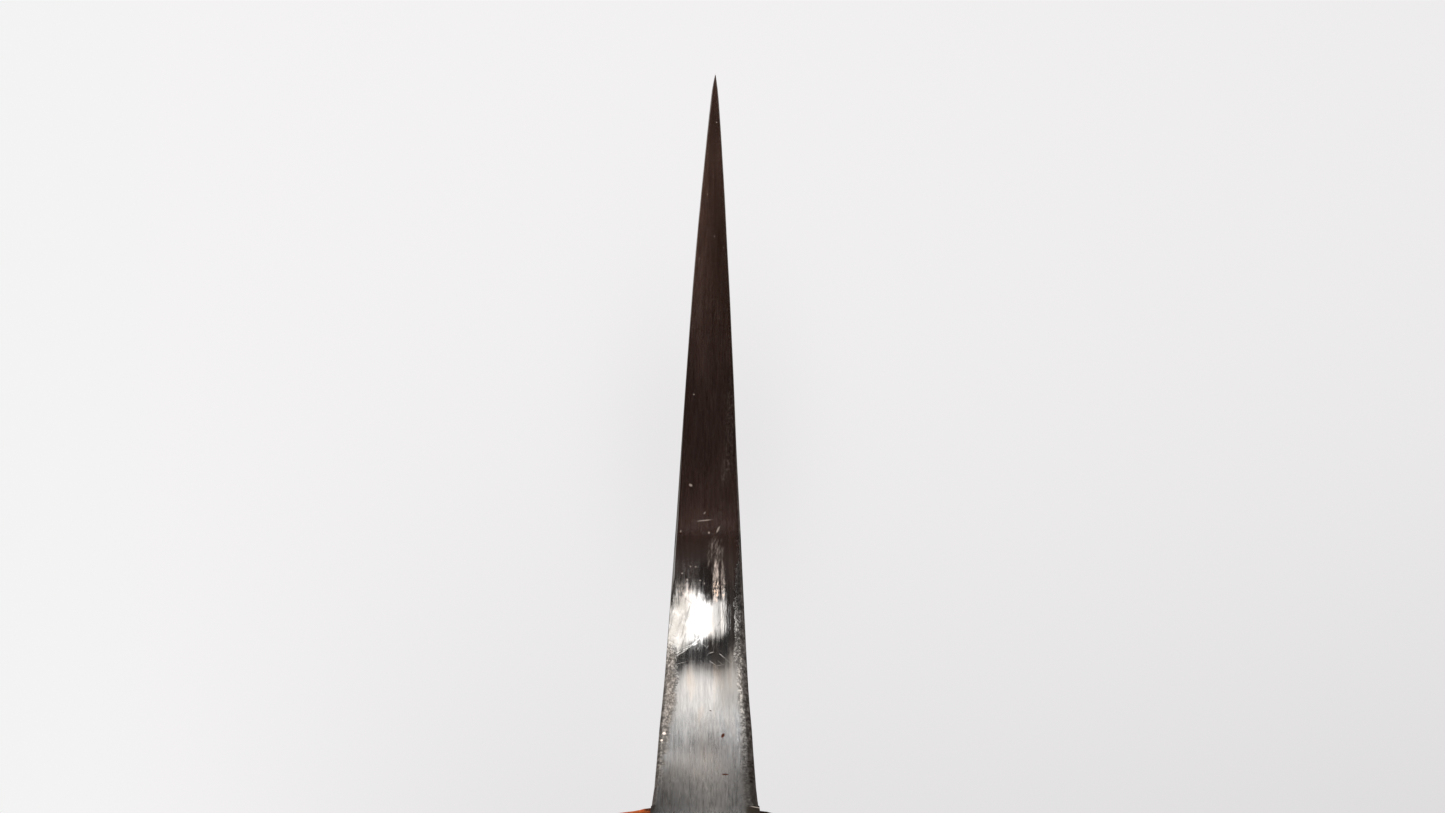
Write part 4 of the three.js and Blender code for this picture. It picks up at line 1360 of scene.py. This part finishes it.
def build_floor():
    """A disc that only the camera sees."""
    count = FLOOR_SEGMENTS
    verts = [(FLOOR_X, 0, FLOOR_Z)]
    for radius in FLOOR_RADII:
        for k in range(count):
            angle = 2 * math.pi * k / count
            verts.append(
                (FLOOR_X + radius * math.cos(angle), radius * math.sin(angle), FLOOR_Z))
    faces = [(0, 1 + k, 1 + (k + 1) % count) for k in range(count)]
    for i in range(len(FLOOR_RADII) - 1):
        inner, outer = 1 + i * count, 1 + (i + 1) * count
        for k in range(count):
            m = (k + 1) % count
            faces.append((inner + k, outer + k, outer + m, inner + m))
    floor = make_mesh("floor", verts, faces)
    floor.data.materials.append(make_material("floor_pale", floor_surface))
    floor.visible_glossy = False
    floor.visible_diffuse = False
    floor.visible_shadow = False
    floor.visible_transmission = False


build_floor()


# ---- lights, in metres and watts ------------------------------------------------------------
def area_light(name, place, size, power, target=(0.02, 0, -0.02), color=(1, 1, 1), glossy=True):
    data = bpy.data.lights.new(name, "AREA")
    data.shape, data.size, data.size_y = "RECTANGLE", size[0], size[1]
    data.energy, data.color = power, color
    light = bpy.data.objects.new(name, data)
    scene.collection.objects.link(light)
    light.location = place
    light.rotation_mode = "QUATERNION"
    light.rotation_quaternion = (Vector(target) - Vector(place)).to_track_quat("-Z", "Y")
    light.visible_glossy = glossy
    light.visible_camera = False


area_light("key", place=(-0.25, -0.75, 0.75), size=(0.9, 0.6), power=7.0,
           color=(1.0, 0.985, 0.97))
area_light("fill", place=(0.35, 0.85, 0.55), size=(0.9, 0.7), power=4.5,
           color=(0.97, 0.985, 1.0))
area_light("top", place=(0.05, 0.0, 1.1), size=(1.2, 0.8), power=8.0, glossy=False)
area_light("under_left", place=(-0.10, -0.75, -0.35), size=(0.5, 0.4), power=4.0,
           target=(0.0, 0, -0.02), color=(1.0, 0.97, 0.93), glossy=False)

# ---- world ----------------------------------------------------------------------------------
# Mirrored room round the Y axis: (degrees from -X towards -Z, colour)
MIRRORED_ARC = (
    (-180, (0.26, 0.25, 0.25)), (-120, (0.30, 0.29, 0.29)), (-60, (0.16, 0.12, 0.11)),
    (-20, (0.075, 0.042, 0.033)), (0, (0.062, 0.033, 0.025)), (16, (0.050, 0.038, 0.034)),
    (26, (0.030, 0.026, 0.025)), (65, (0.042, 0.040, 0.040)), (73, (0.95, 0.91, 0.87)),
    (79, (1.22, 1.16, 1.10)), (88, (1.18, 1.13, 1.08)), (96, (1.08, 1.06, 1.03)),
    (105, (0.84, 0.83, 0.82)), (114, (0.68, 0.675, 0.67)), (125, (0.53, 0.525, 0.52)),
    (136, (0.45, 0.45, 0.445)), (150, (0.34, 0.34, 0.34)), (180, (0.17, 0.17, 0.17)))
# Mirrored walls beyond either side: (z of the direction, brightness)
MIRRORED_WALL = (
    (-1.0, 0.32), (-0.66, 0.42), (-0.50, 0.60), (-0.38, 0.66), (-0.28, 0.55), (-0.17, 0.40),
    (-0.06, 0.58), (0.02, 0.66), (0.15, 0.72), (0.40, 0.84), (0.70, 0.90), (0.90, 0.80),
    (1.0, 0.74))


def bell(value):
    return (value * value * -1.0).math("EXPONENT")


def backdrop(across, up):
    """A pale sweep over the view, brightest at the upper left; levels run from 0 to 255."""
    down = 1.0 - up
    level = 243.2 - across ** 1.3 * 7.0
    low = across.ease(0.03, 0.43) * 13.0 + across.ease(0.70, 1.0) * 2.2
    level = level - low * down ** 2.1
    # a soft painted shadow behind the knife
    beside = (abs(across - 0.488) - 0.021).positive() * 20.0
    level = level - bell(beside) * bell((down - 0.55) * 5.4) * 7.0
    tinge = across.ease(0.01, 0.12)

    def linear(extra):
        """Display level with a tinge, as linear light."""
        return (((level + tinge * extra) * (1 / 255) + 0.055) * (1 / 1.055)) ** 2.4

    return combine(linear(1.6), linear(0.0), linear(0.8))


def mirrored_room(x, y, z):
    """What the steel and brass mirror, by direction."""
    degrees = (z * -1.0).math("ARCTAN2", x * -1.0) * (180 / math.pi)
    lit = degrees.ease(-180.0, 180.0, smooth=False).ramp(
        [((degree + 180.0) / 360.0, colour) for degree, colour in MIRRORED_ARC])
    # a bright box low behind the handle
    box = degrees.band(27.0, 33.0, 49.0, 55.0) * y.ease(0.20, 0.04) * y.ease(-0.60, -0.46)
    lit = lit.toward((2.4, 2.38, 2.35), box)
    left_dark = y.ease(0.16, 0.34) * degrees.ease(78.0, 68.0, 0.45, 0.9)
    lit = lit.toward((0.125, 0.108, 0.098), left_dark)
    # pale walls with soft bands, to either side and above the horizon
    wall = z.ease(-1.0, 1.0, smooth=False).profile(
        [((height + 1) / 2, value) for height, value in MIRRORED_WALL], "B_SPLINE")
    bands = (x * 21.0 + (z * 6.0 + 0.9)).math("SINE")
    wall = wall * (1.0 + bands * 0.10)
    wall = combine(wall, wall * 0.992, wall * 0.985)
    aside = y.ease(-0.46, -0.60) | y.ease(0.50, 0.66)
    return lit.toward(wall, aside).toward(wall, z.ease(0.10, 0.35))


def even_light(y, z):
    """Soft light from all round, stronger from above and from -Y."""
    return (0.42 + z.ease(-0.2, 0.9) * 0.35) * y.ease(0.9, -0.9, 0.75, 1.15)


def build_world():
    """Camera, glossy and other rays each see a background of their own."""
    world = bpy.data.worlds.new("studio")
    scene.world = world
    world.use_nodes = True
    nodes = Nodes(world.node_tree)
    coordinates = nodes.node("ShaderNodeTexCoord")
    path = nodes.node("ShaderNodeLightPath")
    across, up, _ = Signal(nodes, coordinates.outputs["Window"]).split()
    x, y, z = Signal(nodes, coordinates.outputs["Generated"]).split()
    seen, mirrored, diffuse = (
        nodes.signal("ShaderNodeBackground", {0: colour})
        for colour in (backdrop(across, up), mirrored_room(x, y, z), grey(even_light(y, z))))
    is_glossy, is_camera = (
        Signal(nodes, path.outputs[name]) for name in ("Is Glossy Ray", "Is Camera Ray"))
    unseen = nodes.signal("ShaderNodeMixShader", {0: is_glossy, 1: diffuse, 2: mirrored})
    mixed = nodes.signal("ShaderNodeMixShader", {0: is_camera, 1: unseen, 2: seen})
    nodes.node("ShaderNodeOutputWorld", {0: mixed})
    world.cycles.sampling_method = "MANUAL"
    world.cycles.sample_map_resolution = 1024


build_world()

# ---- camera: behind the heel, looking along the blade, with the cutting edge up in view ------
EYE = (HEEL_X - 260.0, 0.32, -HEEL_H + 0.7)
LOOK_AT = (HEEL_X, 0.556667, -HEEL_H + 11.103333)
FOCAL_LENGTH, SENSOR_WIDTH = 194.32526, 36.0


def build_camera():
    aim = (Vector(LOOK_AT) - Vector(EYE)).normalized()
    view_right = aim.cross(Vector((0, 0, -1))).normalized()
    view_up = view_right.cross(aim)
    camera = bpy.data.objects.new("camera", bpy.data.cameras.new("camera"))
    scene.collection.objects.link(camera)
    camera.data.sensor_width = SENSOR_WIDTH
    camera.data.lens = FOCAL_LENGTH
    camera.data.clip_start, camera.data.clip_end = 0.01, 50.0
    camera.rotation_mode = "QUATERNION"
    axes = Matrix((view_right, view_up, -aim)).transposed()
    camera.rotation_quaternion = axes.to_quaternion()
    camera.location = Vector(EYE) * MM
    scene.camera = camera


build_camera()

bpy.context.view_layer.update()
